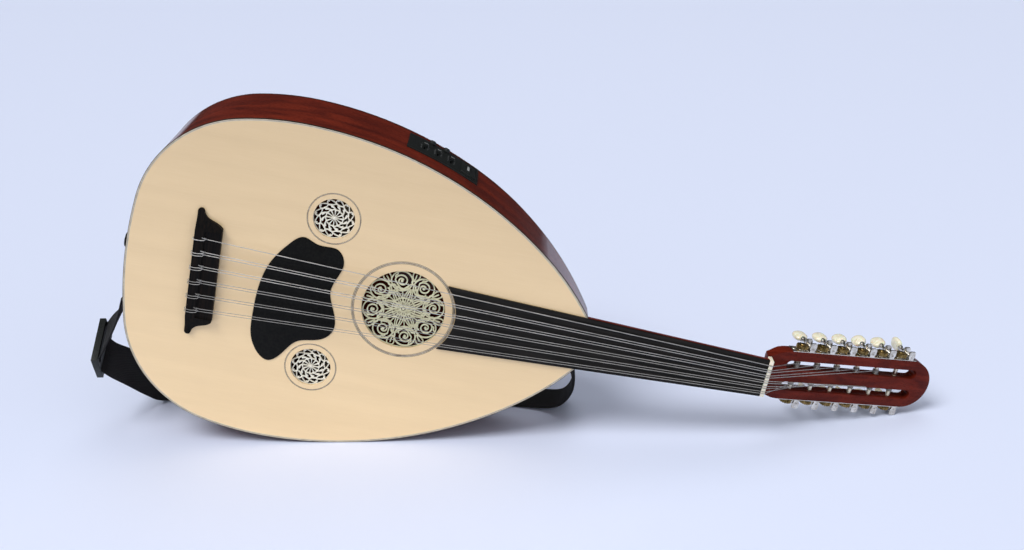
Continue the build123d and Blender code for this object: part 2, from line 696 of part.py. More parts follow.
def as_one(piece):
    """A piece, or several alike, as one shape to export."""
    if isinstance(piece, list):
        solids = [s for p in piece for s in p.solids()]
        return Compound(children=solids)
    return piece


def main():
    os.makedirs("parts", exist_ok=True)
    parts = {name: as_one(piece) for name, piece in pieces().items()}
    stand = Rot(0, TILT, 0)
    standing_parts = {name: stand * part for name, part in parts.items()}
    boxes = [part.bounding_box() for part in standing_parts.values()]
    x_mid = (min(b.min.X for b in boxes) + max(b.max.X for b in boxes)) / 2
    y_mid = (min(b.min.Y for b in boxes) + max(b.max.Y for b in boxes)) / 2
    z_low = min(b.min.Z for b in boxes)
    for name, part in standing_parts.items():
        export_step(Pos(-x_mid, -y_mid, -z_low) * part, "parts/%s.step" % name)
    print("origin shift", x_mid, y_mid, z_low, "tilt", TILT, "pieces", len(parts))


main()
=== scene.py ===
import bmesh
import bpy
import json
from math import atan2, cos, hypot, pi, radians, sin, sqrt, tau
from mathutils import Matrix, Vector


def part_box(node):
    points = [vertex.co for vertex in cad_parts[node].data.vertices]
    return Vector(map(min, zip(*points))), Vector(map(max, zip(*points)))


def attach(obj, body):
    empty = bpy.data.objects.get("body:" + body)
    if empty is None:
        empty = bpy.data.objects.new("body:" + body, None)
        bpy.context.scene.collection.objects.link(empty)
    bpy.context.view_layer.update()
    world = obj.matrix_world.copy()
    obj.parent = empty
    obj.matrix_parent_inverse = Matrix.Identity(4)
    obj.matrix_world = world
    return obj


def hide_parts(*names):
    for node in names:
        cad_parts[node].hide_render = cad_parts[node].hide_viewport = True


# The looks of the oud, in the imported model's frame. Pieces are drawn along the oud's own lines, in
# millimetres: X from the tail to the head, Y from the soundboard to the back, Z towards the bass side, with
# zero at the main rosette's centre on the soundboard's face. placed() turns such a point into the frame's
# metres.

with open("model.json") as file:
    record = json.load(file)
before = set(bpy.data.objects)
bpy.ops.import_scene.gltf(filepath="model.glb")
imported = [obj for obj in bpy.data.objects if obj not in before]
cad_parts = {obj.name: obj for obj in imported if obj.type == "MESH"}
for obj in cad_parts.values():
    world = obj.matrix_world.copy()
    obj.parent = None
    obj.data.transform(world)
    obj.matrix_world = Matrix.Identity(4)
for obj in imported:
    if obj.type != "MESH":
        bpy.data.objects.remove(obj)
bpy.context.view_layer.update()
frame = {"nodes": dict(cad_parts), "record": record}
MM = 0.001


def own_lines():
    """The matrix from the oud's own millimetres to the frame, found from the jack's axis and the rosette."""
    socket = next(m for m in frame["record"]["mounts"] if m["name"] == "plug_socket")
    along = -Vector(socket["axis"])
    behind = Vector((0, 1, 0))
    up = along.cross(behind)
    low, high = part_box("main_rosette")
    zero = (low + high) / 2
    zero.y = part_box("soundboard")[0].y
    turn = Matrix((along, behind, up)).transposed().to_4x4()
    return Matrix.Translation(zero) @ turn @ Matrix.Scale(MM, 4)


PLACE = own_lines()
TURN = PLACE.to_euler()


def placed(point):
    return PLACE @ Vector(point)


# The same driving dimensions as the CAD model
NUT_X = 402.0
NUT_T = 4.5
TIE_FRONT = -217.0
TIE_REAR = -227.5
TIE_TOP = -8.6
STRING_AT_BRIDGE = -7.0
STRING_AT_NUT = -4.3
ROSE_R = 45.0
ROSE_RING_R = 54.5
SMALL_AT = ((-88.0, 87.6), (-88.0, -87.6))
SMALL_R = 22.0
SMALL_RING_R = 27.85
BINDING_W = 2.5
TOP_T = 2.5
ROSE_T = 2.0
TAIL_ARC = (173.5, 0.0, 472.5, 180.0, 171.4)
CORNER_ARC = (-168.3, 51.7, 126.9, 171.4, 103.25)
SIDE_ARC = (-130.0, -110.8, 293.8, 103.25, 90.0)
UPPER_ARC = (-130.0, -252.0, 435.0, 90.0, 51.6)
SHOULDER_MID = (171.0, 61.0)
NECK_X = 197.0
NECK_HALF = 30.6
BACK_AT_ZERO = 92.0
BACK_TAPER = 0.067
BEND_X = 60.0
BACK_AT_NECK = 28.5
HEAD_TILT = radians(14)
HEAD_START_Y = 9.5
HEAD_HALF = 29.3
POST_S0 = 42.4
POST_PITCH = 25.5
POST_H = 7.5
POST_R = 2.5
MACHINES = 6
PLATE_OUT = HEAD_HALF + 1.2
WORM_Z = PLATE_OUT + 3.4
WORM_S = 10.2
BUTTON_H0 = 26.0
SIDES = ((1, "bass"), (-1, "treble"))
BRACKETS = ((0.8, 2.8), (12.2, 14.2))
SLIDER_X = (-10.0, 5.0, 20.0)
SLIDER_Y = 55.0
KNOB_X = (-3.0, 13.0)
KNOB_Y = 75.0
DOOR_X = (30.5, 49.0)
DOOR_Y = 40.0


def in_head(s, h, z):
    """A point given along the head, behind its face and towards the bass side."""
    x = NUT_X + s * cos(HEAD_TILT) - h * sin(HEAD_TILT)
    return Vector((x, HEAD_START_Y + s * sin(HEAD_TILT) + h * cos(HEAD_TILT), z))


def put(name, data):
    """A new object in the scene."""
    made = bpy.data.objects.new(name, data)
    bpy.context.scene.collection.objects.link(made)
    return made


# Camera, floor and light

def add_camera():
    data = bpy.data.cameras.new("camera")
    data.lens = 43.95
    data.sensor_width = 36.0
    data.clip_end = 60
    camera = put("camera", data)
    eye = Vector((0.0012, -1.3088, 0.6980))
    aim = Vector((-0.0051, 0.0, 0.1693))
    roll = radians(-0.52)
    look = (aim - eye).to_track_quat("-Z", "Y")
    camera.matrix_world = Matrix.Translation(eye) @ look.to_matrix().to_4x4() @ Matrix.Rotation(roll, 4, "Z")
    bpy.context.scene.camera = camera


def sun(name, toward, spread, power, colour, shines=True):
    """Even light from far away. toward points from the oud to it; spread is its softness in degrees."""
    data = bpy.data.lights.new(name, "SUN")
    data.angle = radians(spread)
    data.energy = power
    data.color = colour
    lamp = put(name, data)
    lamp.rotation_euler = (-Vector(toward)).to_track_quat("-Z", "Y").to_euler()
    lamp.visible_glossy = shines


def add_low_strip():
    """A long low light in front, which brightens the soundboard's lower half."""
    data = bpy.data.lights.new("low_strip", "AREA")
    data.shape = "RECTANGLE"
    data.size, data.size_y = 1.6, 0.2
    data.energy = 0.5
    lamp = put("low_strip", data)
    lamp.location = (-0.15, -0.62, 0.06)
    lamp.rotation_euler = (Vector((-0.1, 0, 0.1)) - lamp.location).to_track_quat("-Z", "Y").to_euler()
    lamp.visible_camera = False
    lamp.visible_glossy = False


def add_sky():
    """Soft light all round, strongest from the front and above."""
    world = bpy.data.worlds.new("studio")
    bpy.context.scene.world = world
    world.use_nodes = True
    tree = world.node_tree
    source = tree.nodes.new("ShaderNodeTexCoord")
    facing = tree.nodes.new("ShaderNodeVectorMath")
    facing.operation = "DOT_PRODUCT"
    facing.inputs[1].default_value = Vector((-0.1, -0.8, 0.6)).normalized()
    fade = tree.nodes.new("ShaderNodeValToRGB")
    ends = ((0.0, (0.06, 0.062, 0.068, 1)), (0.85, (0.92, 0.96, 1.0, 1)))
    for spot, (place, colour) in zip(fade.color_ramp.elements, ends):
        spot.position = place
        spot.color = colour
    tree.links.new(source.outputs["Generated"], facing.inputs[0])
    tree.links.new(facing.outputs["Value"], fade.inputs["Fac"])
    tree.links.new(fade.outputs["Color"], tree.nodes["Background"].inputs["Color"])
    tree.nodes["Background"].inputs["Strength"].default_value = 0.54


def floor_look():
    """Pale paper. Far back it turns near black for glossy rays only: a painted dark reflection in the
    lacquer.
    """
    look = Look("floor", (0.73, 0.79, 0.985), 0.5, Specular_IOR_Level=0.2)
    parts = look.node("ShaderNodeSeparateXYZ")
    look.link(look.node("ShaderNodeTexCoord").outputs["Object"], parts.inputs[0])
    far = look.node("ShaderNodeMapRange", **{"From Min": 2.0, "From Max": 3.2})
    look.link(parts.outputs["Y"], far.inputs["Value"])
    # Painted reflection: from 2.0 to 3.2 m back the floor fades to near black in glossy rays only.
    painted_reflection_mask = look.node("ShaderNodeMath", operation="MULTIPLY")
    look.link(far.outputs["Result"], painted_reflection_mask.inputs[0])
    look.link(look.node("ShaderNodeLightPath").outputs["Is Glossy Ray"], painted_reflection_mask.inputs[1])
    return look.colour(look.mix((0.73, 0.79, 0.985), (0.03, 0.03, 0.03), painted_reflection_mask.outputs[0])).material


def add_stage():
    bpy.context.scene.view_settings.view_transform = "Standard"
    bpy.ops.mesh.primitive_plane_add(size=60, location=(0, 0, 0))
    floor = bpy.context.object
    floor.name = "floor"
    floor.data.materials.append(floor_look())
    add_sky()
    sun("key", (-0.8, -0.75, 1.5), 30, 2.12, (1.0, 0.985, 0.96))
    sun("fill", (0.7, -0.8, 1.1), 60, 0.3, (0.97, 0.98, 1.0))
    sun("top", (0.1, 0.9, 1.7), 40, 0.5, (1.0, 1.0, 1.0), shines=False)
    add_low_strip()


# Materials

class Look:
    """A principled material, with helpers for colour, roughness and relief in the oud's own lines."""

    def __init__(self, name, colour, roughness, metallic=0.0, **values):
        self.material = bpy.data.materials.new(name)
        self.material.use_nodes = True
        self.tree = self.material.node_tree
        self.bsdf = self.tree.nodes["Principled BSDF"]
        self.set("Base Color", (*colour, 1))
        self.set("Roughness", roughness)
        self.set("Metallic", metallic)
        for key, value in values.items():
            self.set(key.replace("_", " "), value)
        self.coords = None
        self.relief = None

    def set(self, name, value):
        self.bsdf.inputs[name].default_value = value

    def node(self, kind, **values):
        made = self.tree.nodes.new(kind)
        for key, value in values.items():
            if key in made.inputs:
                made.inputs[key].default_value = value
            else:
                setattr(made, key, value)
        return made

    def link(self, a, b):
        self.tree.links.new(a, b)

    def own(self, stretch=(1, 1, 1)):
        """The oud's own millimetres, then squeezed along each axis."""
        if self.coords is None:
            source = self.node("ShaderNodeTexCoord")
            into = self.node("ShaderNodeMapping", vector_type="TEXTURE")
            into.inputs["Location"].default_value = PLACE.translation
            into.inputs["Rotation"].default_value = TURN
            into.inputs["Scale"].default_value = (MM, MM, MM)
            self.link(source.outputs["Object"], into.inputs["Vector"])
            self.coords = into.outputs["Vector"]
        squeeze = self.node("ShaderNodeMapping")
        squeeze.inputs["Scale"].default_value = stretch
        self.link(self.coords, squeeze.inputs["Vector"])
        return squeeze.outputs["Vector"]

    def noise(self, stretch, detail=4.0, distortion=0.0):
        made = self.node("ShaderNodeTexNoise", Scale=1.0, Detail=detail, Distortion=distortion)
        self.link(self.own(stretch), made.inputs["Vector"])
        return made.outputs["Fac"]

    def bands(self, stretch, axis, distortion=0.0, detail=2.0):
        made = self.node("ShaderNodeTexWave", bands_direction=axis, Scale=1.0, Distortion=distortion,
                         Detail=detail)
        self.link(self.own(stretch), made.inputs["Vector"])
        return made.outputs["Fac"]

    def ramp(self, value, stops):
        """Colours (or greys) at places from 0 to 1 along a value."""
        made = self.node("ShaderNodeValToRGB")
        spots = made.color_ramp.elements
        while len(spots) < len(stops):
            spots.new(0.5)
        for spot, (place, colour) in zip(spots, stops):
            spot.position = place
            spot.color = (*colour, 1) if hasattr(colour, "__len__") else (colour, colour, colour, 1)
        self.link(value, made.inputs["Fac"])
        return made.outputs["Color"]

    def mix(self, a, b, share, how="MIX"):
        made = self.node("ShaderNodeMix", data_type="RGBA", blend_type=how)
        if hasattr(share, "links"):
            self.link(share, made.inputs[0])
        else:
            made.inputs[0].default_value = share
        for socket, value in ((made.inputs[6], a), (made.inputs[7], b)):
            if hasattr(value, "links"):
                self.link(value, socket)
            else:
                socket.default_value = (*value, 1)
        return made.outputs[2]

    def colour(self, socket):
        self.link(socket, self.bsdf.inputs["Base Color"])
        return self

    def rough(self, value, low, high):
        self.link(self.ramp(value, [(0.3, low), (0.7, high)]), self.bsdf.inputs["Roughness"])
        return self

    def bump(self, value, depth_mm, strength=1.0):
        made = self.node("ShaderNodeBump", Strength=strength, Distance=depth_mm * MM)
        self.link(value, made.inputs["Height"])
        if self.relief is not None:
            self.link(self.relief, made.inputs["Normal"])
        self.relief = made.outputs["Normal"]
        self.link(self.relief, self.bsdf.inputs["Normal"])
        return self


def spruce():
    """The soundboard's wood, with painted shade that darkens it towards the bass side, which stands
    uppermost.
    """
    look = Look("spruce", (0.80, 0.66, 0.45), 0.32, Coat_Weight=0.25, Coat_Roughness=0.18)
    rings = look.bands((0.02, 1, 0.42), "Z", distortion=1.6, detail=3.0)
    broad = look.noise((0.004, 0.05, 0.045), detail=3.0)
    fibre = look.noise((0.03, 3.0, 3.0), detail=5.0)
    pale = look.ramp(broad, [(0.3, (0.85, 0.63, 0.362)), (0.7, (0.92, 0.69, 0.402))])
    grain = look.mix(pale, (0.75, 0.49, 0.255), look.ramp(rings, [(0.55, 0.0), (1.0, 0.32)]))
    wood = look.mix(grain, (0.96, 0.745, 0.46), look.ramp(fibre, [(0.45, 0.0), (0.75, 0.35)]))
    # Painted shade: the colour is multiplied from 1.0 at the treble edge down to 0.80 at the bass edge.
    across = look.node("ShaderNodeSeparateXYZ")
    look.link(look.own(), across.inputs[0])
    share = look.node("ShaderNodeMapRange", **{"From Min": -170.0, "From Max": 170.0})
    look.link(across.outputs["Z"], share.inputs["Value"])
    painted_shade = look.ramp(share.outputs["Result"], [(0.0, 1.0), (1.0, 0.80)])
    look.colour(look.mix(wood, painted_shade, 1.0, "MULTIPLY"))
    look.rough(fibre, 0.28, 0.38)
    return look.bump(fibre, 0.02, 0.4).material


def even(name, stretch, detail, stops, rough=None, relief=None, base=0.4, **values):
    """A look from one noise: its colours at stops, its roughness, and its relief's depth and strength."""
    look = Look(name, stops[-1][1], base, **values)
    field = look.noise(stretch, detail=detail)
    look.colour(look.ramp(field, stops))
    if rough:
        look.rough(field, *rough)
    if relief:
        look.bump(field, *relief)
    return look.material


def mahogany(name, dark, light, stretch, coat):
    """Lacquered red-brown wood: broad stripes, fine pores along the grain and a clear gloss coat."""
    look = Look(name, light, 0.35, Coat_Weight=coat, Coat_Roughness=0.05, Specular_IOR_Level=0.04)
    stripe = look.noise(stretch, detail=3.0, distortion=0.6)
    pores = look.noise(tuple(c * 14 for c in stretch), detail=4.0)
    wood = look.ramp(stripe, [(0.3, dark), (0.72, light)])
    look.colour(look.mix(wood, tuple(c * 0.35 for c in dark), look.ramp(pores, [(0.52, 0.0), (0.75, 0.75)])))
    look.rough(pores, 0.30, 0.45)
    return look.bump(pores, 0.03, 0.15).material


def textured_black(name, grain_mm, low, high):
    return even(name, [1 / grain_mm] * 3, 3.0, [(0.3, (0.007, 0.008, 0.008)), (0.7, (0.018, 0.020, 0.019))],
                (low, high), (0.05, 0.5), Specular_IOR_Level=0.25)


def cream_wood(name, low, high):
    """The rosettes' pale wood, with its grain along the oud."""
    return even(name, (0.08, 0.8, 0.8), 5.0, [(0.3, low), (0.72, high)], (0.42, 0.58), (0.04, 0.4))


def metal(name, dark, light, low, high):
    """Handled metal: duller where it is darker."""
    look = Look(name, light, 0.3, metallic=1.0)
    tarnish = look.noise((0.225, 0.225, 0.225), detail=6.0)
    fine = look.noise((2.7, 2.7, 2.7), detail=2.0)
    look.colour(look.ramp(tarnish, [(0.35, dark), (0.65, light)]))
    look.rough(tarnish, high, low)
    return look.bump(fine, 0.02, 0.25).material


def pearl():
    look = Look("pearl", (0.86, 0.82, 0.66), 0.18, Coat_Weight=0.6, Coat_Roughness=0.08,
                Subsurface_Weight=0.15, Subsurface_Scale=0.002, Sheen_Weight=0.15)
    cloud = look.noise((0.16, 0.22, 0.16), detail=3.0, distortion=2.5)
    stops = [(0.3, (0.72, 0.64, 0.42)), (0.5, (0.86, 0.81, 0.63)), (0.7, (0.93, 0.91, 0.80))]
    look.colour(look.ramp(cloud, stops))
    look.rough(cloud, 0.12, 0.25)
    return look.bump(cloud, 0.02, 0.15).material


def wound():
    look = Look("wound", (0.74, 0.72, 0.70), 0.3, metallic=1.0)
    turns = look.bands((1.6, 0, 0), "X", detail=0.0)
    dull = look.noise((0.05, 1, 1), detail=3.0)
    look.colour(look.ramp(dull, [(0.3, (0.38, 0.36, 0.33)), (0.7, (0.58, 0.56, 0.54))]))
    look.rough(dull, 0.26, 0.4)
    return look.bump(turns, 0.05, 0.6).material


def webbing():
    """Black woven tape: ribs across it and a fine twill."""
    look = Look("webbing", (0.010, 0.010, 0.011), 0.75, Sheen_Weight=0.04, Specular_IOR_Level=0.15)
    ribs = look.bands((0.55, 0.0, 0.55), "DIAGONAL", distortion=0.2)
    twill = look.bands((0.9, 0.9, -0.9), "DIAGONAL", distortion=0.3)
    fuzz = look.noise((2.5, 2.5, 2.5), detail=4.0)
    look.colour(look.ramp(twill, [(0.2, (0.008, 0.008, 0.009)), (0.8, (0.022, 0.022, 0.024))]))
    look.rough(fuzz, 0.68, 0.85)
    return look.bump(ribs, 0.25, 0.6).bump(twill, 0.15, 0.5).bump(fuzz, 0.08, 0.4).material


def leather():
    look = Look("leather", (0.018, 0.016, 0.015), 0.42)
    cell = look.node("ShaderNodeTexVoronoi", Scale=0.9, feature="DISTANCE_TO_EDGE")
    look.link(look.own((1, 1, 1)), cell.inputs["Vector"])
    wear = look.noise((0.1, 0.1, 0.1), detail=5.0)
    look.colour(look.ramp(wear, [(0.35, (0.010, 0.009, 0.009)), (0.7, (0.030, 0.026, 0.023))]))
    look.rough(wear, 0.36, 0.5)
    grain = look.ramp(cell.outputs["Distance"], [(0.0, 0.0), (0.2, 1.0)])
    return look.bump(grain, 0.12, 0.4).material


def line(name, dark, light):
    """A thin inlaid or painted line."""
    return even(name, (0.15, 0.4, 0.15), 4.0, [(0.3, dark), (0.7, light)], (0.28, 0.42),
                Specular_IOR_Level=0.12)


LOOKS = {
    "spruce": spruce(),
    "raw_spruce": even("raw_spruce", (0.3, 0.3, 0.03), 5.0,
                       [(0.3, (0.60, 0.45, 0.26)), (0.7, (0.74, 0.60, 0.39))],
                       relief=(0.05, 0.5), base=0.7),
    "side_wood": mahogany("side_wood", (0.075, 0.006, 0.002), (0.20, 0.022, 0.007), (0.02, 0.06, 0.02), 0.6),
    "neck_wood": mahogany("neck_wood", (0.06, 0.005, 0.003), (0.17, 0.018, 0.009), (0.012, 0.09, 0.09), 0.3),
    "head_wood": mahogany("head_wood", (0.065, 0.006, 0.003), (0.15, 0.017, 0.008), (0.014, 0.10, 0.11),
                          0.15),
    "ebony": even("ebony", (0.012, 0.4, 0.4), 5.0,
                  [(0.35, (0.005, 0.005, 0.004)), (0.75, (0.020, 0.017, 0.015))],
                  (0.30, 0.44), (0.03, 0.3), Specular_IOR_Level=0.12),
    "black_bridge": even("black_bridge", (0.5, 0.5, 0.02), 5.0,
                         [(0.4, (0.004, 0.004, 0.004)), (0.8, (0.014, 0.009, 0.007))],
                         (0.36, 0.5), (0.04, 0.4), Specular_IOR_Level=0.05),
    "gloss_black": even("gloss_black", (0.35, 0.35, 0.35), 6.0,
                        [(0.3, (0.004, 0.004, 0.004)), (0.7, (0.008, 0.008, 0.007))],
                        (0.16, 0.27), (0.01, 0.1), Specular_IOR_Level=0.07),
    "preamp_black": textured_black("preamp_black", 0.5, 0.32, 0.46),
    "cap_black": textured_black("cap_black", 0.7, 0.28, 0.4),
    "buckle_black": textured_black("buckle_black", 0.9, 0.24, 0.4),
    "bone": even("bone", (0.6, 0.1, 1.2), 5.0, [(0.3, (0.78, 0.71, 0.56)), (0.7, (0.88, 0.83, 0.70))],
                 (0.28, 0.42), (0.02, 0.3), Subsurface_Weight=0.1, Subsurface_Scale=0.002),
    "rose_cream": cream_wood("rose_cream", (0.62, 0.58, 0.38), (0.80, 0.77, 0.58)),
    "small_cream": cream_wood("small_cream", (0.76, 0.71, 0.58), (0.90, 0.87, 0.78)),
    "nickel": metal("nickel", (0.50, 0.46, 0.40), (0.80, 0.77, 0.71), 0.16, 0.36),
    "post_metal": metal("post_metal", (0.78, 0.70, 0.55), (0.96, 0.90, 0.76), 0.34, 0.5),
    "gear_brass": metal("gear_brass", (0.12, 0.085, 0.030), (0.36, 0.25, 0.10), 0.3, 0.5),
    "pearl": pearl(),
    "wound": wound(),
    "nylon": even("nylon", (0.04, 1, 1), 3.0, [(0.3, (0.34, 0.33, 0.31)), (0.7, (0.50, 0.48, 0.46))],
                  (0.18, 0.3), Coat_Weight=0.3, Transmission_Weight=0.35, IOR=1.5),
    "webbing": webbing(),
    "leather": leather(),
    # Dark inlay on the back's edge, and painted shade in the screw slots, post slits, shaft nicks and the
    # binding's outer strip.
    "line_dark": line("line_dark", (0.012, 0.009, 0.007), (0.032, 0.023, 0.017)),
    "line_cream": line("line_cream", (0.52, 0.46, 0.36), (0.68, 0.61, 0.49)),
    "line_grey": line("line_grey", (0.20, 0.17, 0.14), (0.32, 0.28, 0.22)),
    "line_brown": line("line_brown", (0.10, 0.060, 0.032), (0.18, 0.115, 0.065)),
    "line_taupe": line("line_taupe", (0.15, 0.105, 0.06), (0.25, 0.18, 0.11)),
    "mark_grey": line("mark_grey", (0.30, 0.31, 0.31), (0.42, 0.43, 0.43)),
}


def dress(node, look):
    """Gives a CAD node one of the finished materials."""
    mesh = frame["nodes"][node].data
    mesh.materials.clear()
    mesh.materials.append(LOOKS[look])


# Mesh tools. A drawing is (points, faces); several can be joined before they become one piece.

def joined(drawings):
    points, faces = [], []
    for some, around in drawings:
        base = len(points)
        points += some
        faces += [tuple(base + i for i in face) for face in around]
    return points, faces


def skinned(rings, around=False, ends=True):
    """A surface over rings of as many points each, closed at its ends or running round to its start."""
    wide = len(rings[0])
    faces = []
    for i in range(len(rings) if around else len(rings) - 1):
        j = (i + 1) % len(rings)
        for k in range(wide):
            m = (k + 1) % wide
            faces.append((i * wide + k, i * wide + m, j * wide + m, j * wide + k))
    if ends and not around:
        faces += [tuple(range(wide)), tuple(range((len(rings) - 1) * wide, len(rings) * wide))]
    return [point for ring in rings for point in ring], faces


def moved(drawing, matrix):
    points, faces = drawing
    return [matrix @ Vector(p) for p in points], faces


def tube(path, radius, sides=10):
    """A round bar along points."""
    path = [Vector(p) for p in path]
    rings = []
    normal = None
    for i, at in enumerate(path):
        direction = (path[min(i + 1, len(path) - 1)] - path[max(i - 1, 0)]).normalized()
        if normal is None:
            normal = direction.orthogonal().normalized()
        normal = (normal - direction * normal.dot(direction)).normalized()
        other = direction.cross(normal)
        turns = [tau * k / sides for k in range(sides)]
        rings.append([at + (normal * cos(turn) + other * sin(turn)) * radius for turn in turns])
    return skinned(rings)


def lathe(stations, sides=28):
    """A turned shape round its own Z: stations are (height, radius), from one end to the other."""
    return skinned([[Vector((x, y, height)) for x, y in circle(0, 0, radius, sides)]
                    for height, radius in stations])


def along(start, end, spin=0.0):
    """The matrix that stands a lathe's Z on the line from start to end."""
    start, end = Vector(start), Vector(end)
    turn = (end - start).to_track_quat("Z", "Y").to_matrix().to_4x4()
    return Matrix.Translation(start) @ turn @ Matrix.Rotation(spin, 4, "Z")


def block(x0, x1, y0, y1, z0, z1):
    points = [Vector((x, y, z)) for x in (x0, x1) for y in (y0, y1) for z in (z0, z1)]
    faces = [(0, 1, 3, 2), (4, 6, 7, 5), (0, 4, 5, 1), (2, 3, 7, 6), (0, 2, 6, 4), (1, 5, 7, 3)]
    return points, faces


def flat_loop(inner, outer, y0, y1):
    """A closed band between two outlines with as many points, x against z, from y0 to y1."""
    edges = ((inner, y0), (outer, y0), (outer, y1), (inner, y1))
    return skinned([[Vector((x, y, z)) for x, z in outline] for outline, y in edges], around=True)


def circle(x, z, radius, count=96):
    return [(x + radius * cos(tau * k / count), z + radius * sin(tau * k / count)) for k in range(count)]


def ribbon(path, width, top, bottom, groove=0.25, closed=False):
    """A carved band along a flat path, x against z: two rounded ridges with a groove between them."""
    count = len(path)
    widths = width if hasattr(width, "__len__") else [width] * count
    section = [(-0.5, bottom), (-0.5, top + 0.35), (-0.32, top), (-0.1, top + 0.05), (0.0, top + groove),
               (0.1, top + 0.05), (0.32, top), (0.5, top + 0.35), (0.5, bottom)]
    rings = []
    for i, (x, z) in enumerate(path):
        ahead = path[(i + 1) % count] if closed or i + 1 < count else path[i]
        behind = path[i - 1] if closed or i else path[i]
        dx, dz = ahead[0] - behind[0], ahead[1] - behind[1]
        size = hypot(dx, dz) or 1.0
        offsets = [(across * widths[i], y) for across, y in section]
        rings.append([Vector((x - dz / size * offset, y, z + dx / size * offset)) for offset, y in offsets])
    return skinned(rings, around=closed)


def piece(name, drawings, body="oud", replaces=(), smooth=40, bevel=0.0, segments=2):
    """One object from drawings in the oud's own lines. drawings maps a look to a list of drawings."""
    mesh = bpy.data.meshes.new(name)
    points, faces, kinds = [], [], []
    for index, (look, some) in enumerate(drawings.items()):
        mesh.materials.append(LOOKS[look])
        more, around = joined(some)
        base = len(points)
        points += more
        faces += [tuple(base + i for i in face) for face in around]
        kinds += [index] * len(around)
    mesh.from_pydata([placed(p) for p in points], [], faces)
    mesh.polygons.foreach_set("material_index", kinds)
    mesh.validate()
    clean(mesh, 1e-7)
    shade(mesh, smooth)
    made = put(name, mesh)
    if bevel:
        soften(made, bevel, segments, smooth)
    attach(made, body)
    if replaces:
        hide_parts(*replaces)
    return made


def shade(mesh, smooth):
    """Smooth shading up to an angle in degrees."""
    mesh.polygons.foreach_set("use_smooth", [True] * len(mesh.polygons))
    mesh.set_sharp_from_angle(angle=radians(smooth))


def clean(mesh, near, flat=0.0):
    """Joins points that are near, and faces that bend less than flat degrees, and turns the faces outward."""
    work = bmesh.new()
    work.from_mesh(mesh)
    bmesh.ops.remove_doubles(work, verts=work.verts, dist=near)
    if flat:
        bmesh.ops.dissolve_limit(work, angle_limit=radians(flat), verts=work.verts, edges=work.edges)
    bmesh.ops.recalc_face_normals(work, faces=work.faces)
    work.to_mesh(mesh)
    work.free()


def soften(made, width_mm, segments, smooth):
    """Rounds the sharp edges of a piece, and keeps the result."""
    rounding = made.modifiers.new("round", "BEVEL")
    rounding.width = width_mm * MM
    rounding.segments = segments
    rounding.limit_method = "ANGLE"
    rounding.angle_limit = radians(32)
    bpy.context.view_layer.update()
    ready = made.evaluated_get(bpy.context.evaluated_depsgraph_get())
    mesh = bpy.data.meshes.new_from_object(ready)
    made.modifiers.clear()
    made.data = mesh
    shade(mesh, smooth)


def rounded_node(node, look, width_mm, body="oud", segments=2):
    """A CAD node's shape with its edges rounded."""
    mesh = frame["nodes"][node].data.copy()
    mesh.materials.clear()
    mesh.materials.append(LOOKS[look])
    clean(mesh, 1e-6, 0.6)
    made = put(node + "_finished", mesh)
    soften(made, width_mm, segments, 35)
    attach(made, body)
    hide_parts(node)
    return made


# Body

def arc_run(arc, step=2.5):
    cx, cz, radius, first, last = arc
    count = max(2, int(radians(abs(last - first)) * radius / step))
    turns = [radians(first + (last - first) * i / count) for i in range(count)]
    return [(cx + radius * cos(t), cz + radius * sin(t)) for t in turns]


def arc_through(a, b, c, count):
    """Points from a to c on the circle through b."""
    (ax, az), (bx, bz), (cx, cz) = a, b, c
    d = 2 * (ax * (bz - cz) + bx * (cz - az) + cx * (az - bz))
    aa, bb, cc = ax ** 2 + az ** 2, bx ** 2 + bz ** 2, cx ** 2 + cz ** 2
    ox = (aa * (bz - cz) + bb * (cz - az) + cc * (az - bz)) / d
    oz = (aa * (cx - bx) + bb * (ax - cx) + cc * (bx - ax)) / d
    radius = hypot(ax - ox, az - oz)
    start, end = atan2(az - oz, ax - ox), atan2(cz - oz, cx - ox)
    swing = (end - start + pi) % tau - pi
    return [(ox + radius * cos(start + swing * i / count), oz + radius * sin(start + swing * i / count))
            for i in range(count + 1)]


def body_outline():
    half = []
    for arc in (TAIL_ARC, CORNER_ARC, SIDE_ARC, UPPER_ARC):
        half += arc_run(arc)
    cx, cz, radius, first, last = UPPER_ARC
    end = (cx + radius * cos(radians(last)), cz + radius * sin(radians(last)))
    half += arc_through(end, SHOULDER_MID, (NECK_X, NECK_HALF), 30)
    return half + [(x, -z) for x, z in reversed(half[1:])]


OUTLINE = body_outline()


def inset(points, amount):
    """A closed outline drawn inward."""
    count = len(points)
    drawn = []
    for i, (x, z) in enumerate(points):
        ax, az = points[i - 1]
        bx, bz = points[(i + 1) % count]
        size = hypot(bx - ax, bz - az) or 1.0
        drawn.append((x + (bz - az) / size * amount, z - (bx - ax) / size * amount))
    return drawn


def rim(section, depth=lambda x: 0.0):
    """A section of (inset, y) swept round the body's outline. depth adds to y along the oud."""
    loops = [[Vector((x, y + depth(x), z)) for x, z in inset(OUTLINE, amount)] for amount, y in section]
    return skinned(loops, around=True)


def bend_circle():
    """The arc on which the back bends up to meet the neck: its centre and its radius."""
    x, y = BEND_X, BACK_AT_ZERO - BACK_TAPER * BEND_X
    inward = Vector((-BACK_TAPER, -1)).normalized()
    reach = Vector((NECK_X - x, BACK_AT_NECK - y))
    radius = reach.length_squared / (2 * reach.dot(inward))
    return x + radius * inward.x, y + radius * inward.y, radius


def back_depth(x):
    """Depth of the back's outer face."""
    if x < BEND_X:
        return BACK_AT_ZERO - BACK_TAPER * x
    cx, cy, radius = bend_circle()
    return cy + sqrt(radius ** 2 - (min(x, NECK_X) - cx) ** 2)


